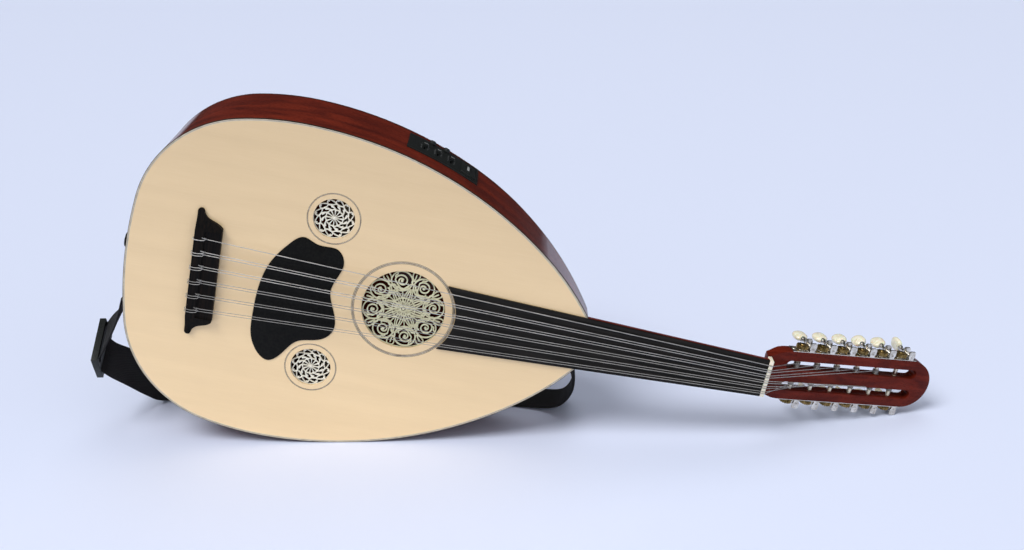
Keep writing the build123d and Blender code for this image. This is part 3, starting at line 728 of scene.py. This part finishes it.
def add_body():
    dress("soundboard", "spruce")
    for node in ("bass_side", "treble_side", "back_halves"):
        dress(node, "side_wood")
    dress("neck", "neck_wood")
    dress("fingerboard", "ebony")
    for node in ("soundboard_braces", "back_braces", "linings", "neck_block", "tail_block"):
        dress(node, "raw_spruce")
    low = TOP_T
    # The outermost strip is painted shade: a dark line that stands for the shade along the top of the side.
    outer = rim([(0.0, low), (0.0, 0.55), (0.16, 0.16), (0.5, 0.0), (0.62, 0.0), (0.62, low)])
    lines = {"line_dark": [outer],
             "line_cream": [rim([(0.62, low), (0.62, -0.02), (1.3, -0.02), (1.3, low)]),
                            rim([(1.85, low), (1.85, -0.02), (BINDING_W, -0.02), (BINDING_W, low)])],
             "line_grey": [rim([(1.3, low), (1.3, -0.01), (1.85, -0.01), (1.85, low)])]}
    piece("binding_lines", lines, replaces=("binding",), smooth=50)
    edge = rim([(-0.06, -2.6), (-0.06, -0.5), (0.1, -0.1), (0.5, 0.06), (1.8, 0.06), (1.8, -2.6)], back_depth)
    piece("back_edging", {"line_dark": [edge]}, smooth=50)
    first = TAIL_ARC[0] - TAIL_ARC[2] + 2
    lines = []
    for z0, z1 in ((-2.6, -1.4), (1.4, 2.6)):
        section = ((-0.3, z0), (-0.3, z1), (0.05, z1), (0.05, z0))
        lines.append(skinned([[Vector((x, back_depth(x) + y, z)) for y, z in section]
                              for x in (first + 6.0 * i for i in range(82))], ends=False))
    piece("back_centre_lines", {"line_cream": lines})


def add_rings():
    """Dark and pale lines let into the soundboard round each rosette."""
    drawn = {"line_taupe": [], "line_brown": [], "line_cream": []}
    for x, z, radius, width in ((0, 0, ROSE_RING_R, 3.0), *((x, z, SMALL_RING_R, 1.5) for x, z in SMALL_AT)):
        middle = "line_taupe" if radius == ROSE_RING_R else "line_brown"
        cuts = [radius - width / 2 + share * width for share in (0, 0.16, 0.36, 0.64, 0.84, 1)]
        for i, look in enumerate(("line_brown", "line_cream", middle, "line_cream", "line_brown")):
            drawn[look].append(flat_loop(circle(x, z, cuts[i]), circle(x, z, cuts[i + 1]), -0.02, 1.0))
    piece("ring_inlays", drawn, replaces=("rosette_rings",), smooth=30)


# Rosettes. A curve is drawn round its own centre and then turned and moved.

def spiral(cx, cz, r0, r1, start, sweep, count=40):
    """Points from radius r0 to r1 as the angle goes from start through sweep degrees."""
    points = []
    for i in range(count + 1):
        share = i / count
        radius = r0 + (r1 - r0) * share
        angle = radians(start + sweep * share)
        points.append((cx + radius * cos(angle), cz + radius * sin(angle)))
    return points


def turned_about(points, degrees_round, x=0.0, z=0.0):
    c, s = cos(radians(degrees_round)), sin(radians(degrees_round))
    return [(x + px * c - pz * s, z + px * s + pz * c) for px, pz in points]


def smooth_line(points, per_span=10, closed=False):
    """A curve through the points."""
    count = len(points)
    spans = count if closed else count - 1
    drawn = []
    for i in range(spans):
        p = [Vector(points[(i + k) % count] if closed else points[min(max(i + k, 0), count - 1)])
             for k in (-1, 0, 1, 2)]
        for j in range(per_span):
            t = j / per_span
            a = p[1] * 2 + (p[2] - p[0]) * t
            b = (p[0] * 2 - p[1] * 5 + p[2] * 4 - p[3]) * t ** 2
            c = (p[1] * 3 - p[0] - p[2] * 3 + p[3]) * t ** 3
            drawn.append(tuple((a + b + c) / 2))
    if not closed:
        drawn.append(tuple(points[-1]))
    return drawn


def dome(x, z, radius, top, bottom):
    """A small rounded stud."""
    stud = [(-bottom, radius), (-top - 0.2, radius), (-top, radius * 0.75), (-top + 0.25, radius * 0.2)]
    return moved(lathe(stud, sides=14), Matrix.Translation((x, 0, z)) @ Matrix.Rotation(pi / 2, 4, "X"))


def polar(*places):
    """Points by their radius and their turn in degrees from a rosette's centre."""
    return [(radius * cos(radians(turn)), radius * sin(radians(turn))) for radius, turn in places]


def main_rosette_bands():
    """Eight ringed medallions round a star of crossing petals, with looped leaves between them at the rim."""
    under, over = TOP_T + 0.55, TOP_T + 0.05
    base = TOP_T + ROSE_T
    centre = 32.4
    bands = []

    def band(points, width, top, around, closed=False):
        bands.append(ribbon(turned_about(points, around), width, top, base, closed=closed))

    for k in range(8):
        around = 12 + 45 * k
        band(spiral(centre, 0, 11.3, 11.3, 0, 356, 48), 1.35, over, around, closed=True)
        coil = spiral(centre, 0, 1.8, 7.4, -60, 500, 60)
        hook = smooth_line([coil[-1], (centre - 7.6, 2.4), (centre - 9.6, -2.0), (centre - 10.6, -5.6)], 7)
        band(coil + hook[1:], 1.4, under, around)
        for turn in (20, 110, 200):
            leaf = turned_about([(10.6, 0.0), (8.6, 1.6), (8.2, 4.0), (5.6, 4.6)], turn)
            band(smooth_line([(centre + x, z) for x, z in leaf], 6), 1.3, over, around)
        loop = polar((44.4, 18.5), (44.6, 26.0), (39.6, 27.6), (34.2, 22.5), (38.6, 17.0))
        band(smooth_line(loop, 7, closed=True), 1.25, under, around, closed=True)
        stalk = polar((29.0, 22.5), (33.0, 26.5), (36.2, 22.5), (42.0, 22.5))
        band(smooth_line(stalk, 6), 1.2, over, around)
        bands.append(dome(*turned_about([(centre, 0)], around)[0], 1.4, over, base))
        for way in (1, -1):
            band(smooth_line([(2.2, 0.9 * way), (9.0, 5.0 * way), (15.6, 8.0 * way), (21.4, 8.6 * way),
                              (24.4, 4.4 * way), (21.6, 0.2)], 9), 1.25, under if way > 0 else over, around)
            band(smooth_line([(5.6, -2.4 * way), (10.4, 0.0), (16.0, 2.6 * way), (21.8, 6.6 * way)], 9), 1.15,
                 over if way > 0 else under, around)
            petal = polar((20.5, 22.5), (24.0, 22.5 - 9 * way), (28.4, 22.5 - 6 * way), (30.6, 22.5))
            band(smooth_line(petal, 7), 1.2, under, around)
        band([(3.0, 0), (8.0, 0), (14.0, 0), (20.4, 0)], 1.1, under, around)
    bands.append(ribbon(circle(0, 0, 12.4, 72), 1.1, under, base, closed=True))
    bands.append(ribbon(circle(0, 0, 3.4, 36), 1.3, over, base, closed=True))
    bands.append(dome(0, 0, 1.5, over, base))
    bands.append(ribbon(circle(0, 0, ROSE_R + 1.4, 128), 3.2, under, base, groove=0.05, closed=True))
    return bands


def small_rosette_bands(x, z):
    """A wheel of twelve spokes, whose tips sweep out as curved arms joined by links and hooked leaves."""
    top = TOP_T + 0.05
    base = TOP_T + ROSE_T
    bands = []

    def band(points, width, around):
        bands.append(ribbon(turned_about(points, around, x, z), width, top, base, 0.12))

    for k in range(12):
        around = 30 * k
        band([(0.6, 0), (3.0, 0), (6.0, 0.0), (8.4, 0.0)], [0.7, 0.7, 0.9, 1.4], around)
        arm = polar((7.6, -2), (10.4, 5), (13.6, 17), (16.8, 33), (19.6, 46), (22.6, 58))
        band(smooth_line(arm, 6), 1.05, around)
        band(smooth_line(polar((8.2, 0), (9.4, 11), (8.9, 21), (10.0, 33)), 5), 0.95, around)
        link = polar((14.6, 22), (15.6, 32), (14.6, 42), (15.4, 54))
        band(smooth_line(link, 5), 1.05, around)
        band(smooth_line(polar((11.2, 8), (12.4, 18), (13.2, 24)), 5), 1.3, around)
        hook = polar((16.4, 62), (18.8, 61), (20.2, 57), (19.2, 53))
        band(smooth_line(hook, 5), [1.1] * 9 + [1.6, 1.9, 2.1, 2.2, 2.1, 1.9, 1.5], around)
    bands.append(dome(x, z, 1.3, top, base))
    bands.append(ribbon(circle(x, z, SMALL_R + 1.0, 96), 2.6, top + 0.4, base, 0.0, closed=True))
    return bands


def add_rosettes():
    piece("rose_fretwork", {"rose_cream": main_rosette_bands()},
          replaces=("main_rosette",), smooth=50)
    bands = [band for x, z in SMALL_AT for band in small_rosette_bands(x, z)]
    piece("small_rose_fretwork", {"small_cream": bands},
          replaces=("small_rosettes",), smooth=50)


# Strings

def string_list():
    """Every string, bass to treble: radius, z at the bridge, z at the nut, post, side and z on the post."""
    wraps = [12.0, 11.5, 11.0, 10.6, 10.4, 10.2]
    strings = []
    for course in range(6):
        for pair in ((0,) if course == 0 else (1, -1)):
            radius = 0.5 - 0.035 * course
            strings.append([radius, 41.2 - 16.45 * course + pair * 1.4, 17.0 - 6.6 * course + pair * 1.3])
    for i, entry in enumerate(strings):
        side = 1 if i < 5 else -1
        k = i if side > 0 else 10 - i
        entry += [k, side, side * wraps[k]]
    return strings


def post_s(k):
    return POST_S0 + k * POST_PITCH


def on_post(s, turn_r, angle, z):
    """A point beside a post; at angle 0 it is in front of it."""
    return in_head(s + turn_r * sin(angle), POST_H - turn_r * cos(angle), z)


def string_path(radius, bridge_z, nut_z, k, side, post_z):
    """From the tie block over the nut to five turns round the post, and a short cut end."""
    turn_r = POST_R + 0.25 + radius
    points = [Vector((TIE_FRONT - 0.5, STRING_AT_BRIDGE, bridge_z))]
    over_nut = Vector((NUT_X + NUT_T, STRING_AT_NUT, nut_z))
    points += [points[0].lerp(over_nut, t) for t in (0.02, 0.2, 0.5, 0.8, 0.98)]
    points.append(over_nut)
    start_z = post_z + 2.6 * radius * 2
    first = on_post(post_s(k), turn_r, 0, start_z)
    points += [over_nut.lerp(first, t) for t in (0.03, 0.3, 0.6, 0.9)]
    turns = 5
    per_turn = 18
    for i in range(turns * per_turn + 1):
        angle = tau * i / per_turn
        points.append(on_post(post_s(k), turn_r, angle, start_z - 2.08 * radius * i / per_turn))
    end_z = start_z - 2.08 * radius * turns
    points.append(on_post(post_s(k), turn_r + 0.4, 0.7, end_z - 0.4))
    points.append(on_post(post_s(k), turn_r + 1.6, 1.25, end_z - 1.2))
    return points


def bridge_loop(radius, bridge_z):
    """Out of the tie block's rear, back over its top and hitched round the string in front of it."""
    y0 = STRING_AT_BRIDGE
    top = TIE_TOP - radius - 0.05
    z = bridge_z
    route = [(TIE_REAR + 2, y0, z), (TIE_REAR - 0.5, y0, z - 0.2), (TIE_REAR - 1.3, y0 - 0.9, z - 0.8),
             (TIE_REAR - 0.6, top + 0.2, z - 1.5), (TIE_REAR + 2.5, top, z - 1.9), (-221.5, top, z - 1.8),
             (TIE_FRONT + 0.1, top + 0.05, z - 1.0), (TIE_FRONT + 1.2, top + 0.9, z - 0.2)]
    knot = [(TIE_FRONT + 1.4 + 0.35 * i, y0 - 2.05 * radius * cos(0.9 * i), z + 2.05 * radius * sin(0.9 * i))
            for i in range(1, 4)]
    tail = [(TIE_FRONT + 1.4, y0 - 1.3, z + 1.4), (TIE_FRONT - 0.6, top + 0.1, z + 1.2),
            (TIE_FRONT - 2.2, top, z + 1.9)]
    return smooth_line(route + knot + tail, 6)


def add_strings():
    metal_wires, gut = [], []
    for radius, bridge_z, nut_z, k, side, post_z in string_list():
        wires = metal_wires if side > 0 else gut
        wires.append(tube(string_path(radius, bridge_z, nut_z, k, side, post_z), radius, 10))
        wires.append(tube(bridge_loop(radius, bridge_z), radius * 0.95, 8))
    piece("wound_wires", {"wound": metal_wires}, replaces=("wound_strings",), smooth=60)
    piece("plain_wires", {"nylon": gut}, replaces=("plain_strings",), smooth=60)


# Machine heads. HEAD takes a point given along the head, behind its face and towards the bass side into the
# oud's own lines.

HEAD = Matrix.Translation((NUT_X, HEAD_START_Y, 0)) @ Matrix.Rotation(HEAD_TILT, 4, "Z")


def head_rod(s, h0, h1, z, stations, sides=24):
    """A turned shape whose axis runs back through the head; stations are measured from h0."""
    return moved(lathe(stations, sides), HEAD @ along((s, h0, z), (s, h1, z)))


def across_rod(s, h, z0, z1, stations, sides=24):
    """A turned shape whose axis runs across the head, out from z0 towards z1."""
    return moved(lathe(stations, sides), HEAD @ along((s, h, z0), (s, h, z1)))


def lug_outline(side):
    """A worm bracket seen from the front, as (s, z): a waisted stem with a rounded, eared end."""
    half = [(3.6, -0.3), (3.0, 1.0), (3.1, 2.2), (4.0, 3.4), (4.0, 8.4), (3.4, 9.9), (2.2, 10.5)]
    return [(s, side * z) for s, z in half + [(-s, z) for s, z in reversed(half)]]


def prism(outline, h0, h1, s, z):
    """An outline along the head against z, from h0 to h1."""
    return moved(skinned([[(s + ds, h, z + dz) for ds, dz in outline] for h in (h0, h1)]), HEAD)


def screw_head(s, side, radius=2.2):
    z = side * PLATE_OUT
    dome_stations = [(0, radius), (0.45, radius * 0.98), (0.85, radius * 0.8), (1.15, radius * 0.45),
                     (1.2, 0.1)]
    return across_rod(s, POST_H, z, z + side, dome_stations, 20)


def add_plates():
    for side, name in SIDES:
        metal_parts = [moved(block(POST_S0 - 13, post_s(MACHINES - 1) + 18, BRACKETS[0][0], BRACKETS[1][1],
                                   side * HEAD_HALF, side * PLATE_OUT), HEAD)]
        for k in range(MACHINES):
            worm = post_s(k) + WORM_S
            for h0, h1 in BRACKETS:
                metal_parts.append(prism(lug_outline(side), h0, h1, worm, side * PLATE_OUT))
            metal_parts.append(across_rod(post_s(k), POST_H, side * PLATE_OUT, side * (PLATE_OUT + 1),
                                          [(0, 4.6), (0.4, 4.6), (0.5, 4.4)], 28))
        piece(name + "_plate", {"nickel": metal_parts}, replaces=(name + "_machine_plate",),
              bevel=0.28, smooth=40)
    places = [POST_S0 - 9.6] + [post_s(k) - POST_PITCH / 2 + 3.4 for k in range(1, MACHINES)]
    heads = [screw_head(s, side) for side in (1, -1) for s in places]
    # The screw slots are not cut: each is a thin dark bar across its dome, painted shade where the slot's
    # recess would be.
    slot_shades = [moved(block(s - 1.7, s + 1.7, POST_H - 0.22, POST_H + 0.22, side * (PLATE_OUT + 0.9),
                         side * (PLATE_OUT + 1.22)), HEAD) for side in (1, -1) for s in places]
    piece("screw_heads", {"nickel": heads, "line_dark": slot_shades}, replaces=("plate_screws",))


def gear_drawing(s, side):
    """A toothed wheel with chamfered faces, on the post's outer end."""
    teeth = 14
    inner = side * (WORM_Z - 2.0)
    thick = 4.0
    outline = []
    for t in range(teeth):
        for share, radius in ((0.0, 5.6), (0.22, 5.8), (0.34, 6.75), (0.62, 6.75), (0.74, 5.8)):
            angle = tau * (t + share) / teeth
            outline.append((radius * cos(angle), radius * sin(angle)))
    levels = [(0.0, 0.92), (0.4, 1.0), (thick - 0.4, 1.0), (thick, 0.92)]
    rings = [[(s + x * scale, POST_H + y * scale, inner + side * level) for x, y in outline]
             for level, scale in levels]
    return moved(skinned(rings), HEAD)


def add_posts():
    for side, name in SIDES:
        for k in range(MACHINES):
            s = post_s(k)
            node = "%s_post_%d" % (name, k + 1)
            roller = across_rod(s, POST_H, side * 4, side * 5, [
                (0, 2.2), (0.3, POST_R), (3.4, POST_R), (3.7, 2.25), (4.1, POST_R), (WORM_Z - 6.2, POST_R)])
            boss = across_rod(s, POST_H, side * (PLATE_OUT + 0.55), side * WORM_Z, [
                (0, 3.6), (0.4, 3.9), (0.9, 3.6)])
            cap = across_rod(s, POST_H, side * (WORM_Z + 1.9), side * (WORM_Z + 3), [
                (0, 3.0), (0.9, 3.0), (1.3, 2.7), (1.5, 0.2)])
            # The slit in each cap's end is a thin dark bar, painted shade for the recess.
            slit_shade = moved(block(s - 2.4, s + 2.4, POST_H - 0.3, POST_H + 0.3, side * (WORM_Z + 3.1),
                               side * (WORM_Z + 3.45)), HEAD)
            piece(node + "_turned", {"post_metal": [roller, boss], "gear_brass": [gear_drawing(s, side), cap],
                                     "line_dark": [slit_shade]},
                  body=node, replaces=(node,), smooth=35)


def worm_drawing(s, h0, h1, z, core, crest, pitch):
    """A screw thread round a bar."""
    sides = 20
    steps = int((h1 - h0) / pitch * 8)
    rings = []
    for i in range(steps + 1):
        h = h0 + (h1 - h0) * i / steps
        edge = min(1.0, i / 4, (steps - i) / 4)
        ring = []
        for k in range(sides):
            angle = tau * k / sides
            wave = 0.5 + 0.5 * cos(tau * (h - h0) / pitch - angle)
            radius = core + (crest - core) * wave ** 0.8 * edge
            ring.append((s + radius * cos(angle), h, z + radius * sin(angle)))
        rings.append(ring)
    return moved(skinned(rings), HEAD)


def button_drawing(s, z, spin):
    """An oval pearl button, fuller in the middle, on its shaft behind the head."""
    length, wide, thick = 18.0, 15.5, 7.5
    steps, sides = 22, 28
    rings = []
    for i in range(steps + 1):
        t = -1 + 2 * i / steps
        t = t * (1.5 - 0.5 * t * t)
        reach = (1 - abs(t) ** 2.6) ** (1 / 2.6)
        ring = []
        for k in range(sides):
            angle = tau * k / sides
            c, d = cos(angle), sin(angle)
            size = (abs(c) ** 2.5 + abs(d) ** 2.5) ** (-1 / 2.5)
            x = wide / 2 * reach * c * size
            y = thick / 2 * (0.82 + 0.18 * reach) * reach ** 0.6 * d * size
            ring.append((x, y, length / 2 + t * length / 2))
        rings.append(ring)
    stand = along((s, BUTTON_H0, z), (s, BUTTON_H0 + 1, z), radians(spin))
    return moved(skinned(rings), HEAD @ stand)


def add_keys():
    spins = {"bass": (-6, -10, -20, -32, -24, 78), "treble": (12, 64, -18, 30, -8, 84)}
    for side, name in SIDES:
        for k in range(MACHINES):
            s, z = post_s(k) + WORM_S, side * WORM_Z
            node = "%s_key_%d" % (name, k + 1)
            shaft = head_rod(s, 0.4, 1.4, z, [
                (0, 1.1), (0.3, 1.5), (17.2, 1.5), (17.6, 2.3), (18.8, 2.5), (20.0, 1.9), (22.4, 1.8),
                (24.4, 2.6), (25.4, 3.1), (27.0, 3.1)])
            # The nick in each shaft's end is a thin dark bar, painted shade for the recess.
            nick_shade = moved(block(s - 1.2, s + 1.2, 0.3, 0.62, z - 0.2, z + 0.2), HEAD)
            thread_part = worm_drawing(s, 3.1, 11.9, z, 1.9, 3.0, 2.1)
            piece(node + "_turned", {"nickel": [shaft, thread_part], "line_dark": [nick_shade],
                                     "pearl": [button_drawing(s, z, spins[name][k])]},
                  body=node, replaces=(node,), smooth=45)


# Preamp

def wall_frame(x, y):
    """Stands a drawing on the bass wall: X along the wall, Y towards the back, Z outward."""
    cx, cz, radius = UPPER_ARC[:3]
    z = cz + sqrt(radius ** 2 - (x - cx) ** 2)
    outward = Vector((x - cx, 0, z - cz)).normalized()
    level = outward.cross(Vector((0, -1, 0)))
    turn = Matrix((level, outward.cross(level), outward)).transposed().to_4x4()
    return Matrix.Translation((x, y, z)) @ turn


def add_preamp():
    rounded_node("preamp_housing", "preamp_black", 0.5)
    rounded_node("battery_door", "cap_black", 0.3, body="battery_door")
    marks = []
    for number, x in enumerate(SLIDER_X):
        at = wall_frame(x, SLIDER_Y)
        for i in range(5):
            end = 3.2 + (1.7 if i == 2 else 1.1)
            for way in (-1, 1):
                bar = block(way * 3.2, way * end, 4 * i - 8.14, 4 * i - 7.86, 1.5, 1.63)
                marks.append(moved(bar, at))
        node = "tone_slider_%d" % (number + 1)
        cap = block(-2.2, 2.2, -1.6, 1.6, 2.1, 5.1)
        stem = block(-0.8, 0.8, -1.3, 1.3, -2.5, 2.2)
        ridge = block(-2.2, 2.2, -0.25, 0.25, 5.0, 5.35)
        drawn = {"cap_black": [moved(cap, at), moved(stem, at)], "mark_grey": [moved(ridge, at)]}
        piece(node + "_cap", drawn, body=node, replaces=(node,), bevel=0.25)
    for number, x in enumerate(KNOB_X):
        node = "preamp_knob_%d" % (number + 1)
        at = wall_frame(x, KNOB_Y)
        sides = 36
        grip = lathe([(2.0, 3.4), (2.2, 3.7), (4.3, 3.55), (4.9, 3.1), (5.0, 0.2)], sides)
        for level in (1, 2):
            for k in range(0, sides, 2):
                spot = grip[0][level * sides + k]
                spot.x *= 0.93
                spot.y *= 0.93
        shaft = lathe([(-5, 1.2), (2.1, 1.2)], 20)
        pointer = block(-0.25, 0.25, 0.6, 3.0, 4.95, 5.08)
        drawn = {"cap_black": [moved(grip, at), moved(shaft, at)], "mark_grey": [moved(pointer, at)]}
        piece(node + "_grip", drawn, body=node, replaces=(node,), smooth=30)
    door = wall_frame(sum(DOOR_X) / 2, DOOR_Y)
    tab = block(-1.3, 1.3, 14.0, 27.0, 1.95, 2.25)
    piece("door_mark", {"mark_grey": [moved(tab, door)]}, body="battery_door",
          bevel=0.12)
    piece("preamp_scales", {"mark_grey": marks})


# Strap

STRAP_T = 2.4
ALONG = PLACE @ Vector((1, 0, 0)) - PLACE.translation
TILT = atan2(-ALONG.z, ALONG.x)
FLOOR = PLACE.translation.z / MM
STRAP_FRONT = [
    (-303.5, 25, 166), (-308, 25, 135), (-319, 25, 100), (-323, 26, 84), (-311, 30, 70), (-297, 55, 46),
    (-277, 80, 19), (-264, 95, 5), (-240, 104, 1.6), (-190, 112, 1.6), (-60, 116, 1.6), (60, 104, 1.6),
    (130, 86, 1.6), (172, 74, 3), (196, 60, 12), (206, 47, 36), (203, 43, 64), (192, 41.5, 92)]
STRAP_REAR = [
    (-303.5, 75, 166), (-310, 75, 142), (-324, 74, 124), (-330, 73, 108), (-320, 75, 92), (-302, 100, 69),
    (-284, 126, 38), (-264, 144, 14), (-238, 154, 2.5), (-190, 162, 1.6), (-60, 166, 1.6), (66, 154, 1.6),
    (142, 134, 1.6), (186, 120, 3), (206, 104, 14), (209, 94, 40), (188, 88, 68), (150.3, 69.2, 92)]


def standing(x, y, height):
    """A point given by its height above the floor."""
    return (x, y, (height - FLOOR + x * sin(TILT)) / cos(TILT))


def strap_drawing():
    """Woven tape with thin selvedges. Also gives its length along the middle and its width."""
    front = [Vector(p) for p in smooth_line([standing(*p) for p in STRAP_FRONT], 10)]
    rear = [Vector(p) for p in smooth_line([standing(*p) for p in STRAP_REAR], 10)]
    section = [(0.0, 0.0), (0.012, 0.8), (0.05, 1.0), (0.07, 0.86), (0.5, 0.9), (0.93, 0.86), (0.95, 1.0),
               (0.988, 0.8), (1.0, 0.0)]
    ring = section + [(t, -h) for t, h in reversed(section[1:-1])]
    rings = []
    length = 0.0
    for i, (a, b) in enumerate(zip(front, rear)):
        j, k = min(i + 1, len(front) - 1), max(i - 1, 0)
        ahead = (front[j] + rear[j] - front[k] - rear[k]).normalized()
        up = ahead.cross((b - a).normalized()).normalized() * (STRAP_T / 2)
        rings.append([a.lerp(b, t) + up * h for t, h in ring])
        if i:
            length += ((a + b) / 2 - (front[i - 1] + rear[i - 1]) / 2).length
    return skinned(rings), length, sum((b - a).length for a, b in zip(front, rear)) / len(front)


def add_strap():
    drawing, length, width = strap_drawing()
    tape = piece("strap_tape", {"webbing": [drawing]}, replaces=("strap_webbing",),
                 smooth=50)
    buckle = rounded_node("strap_buckle", "buckle_black", 0.9, segments=3)
    tabs = rounded_node("strap_tabs", "leather", 0.5)


def add_fittings():
    rounded_node("bridge", "black_bridge", 0.7, segments=3)
    rounded_node("pickguard", "gloss_black", 0.3)
    rounded_node("nut", "bone", 0.5)
    rounded_node("headstock", "head_wood", 0.7, segments=3)
    rounded_node("endpin_jack", "gloss_black", 0.3)
    rounded_node("heel_strap_button", "nickel", 0.3)


add_camera()
add_stage()
add_body()
add_rings()
add_rosettes()
add_fittings()
add_strings()
add_plates()
add_posts()
add_keys()
add_preamp()
add_strap()
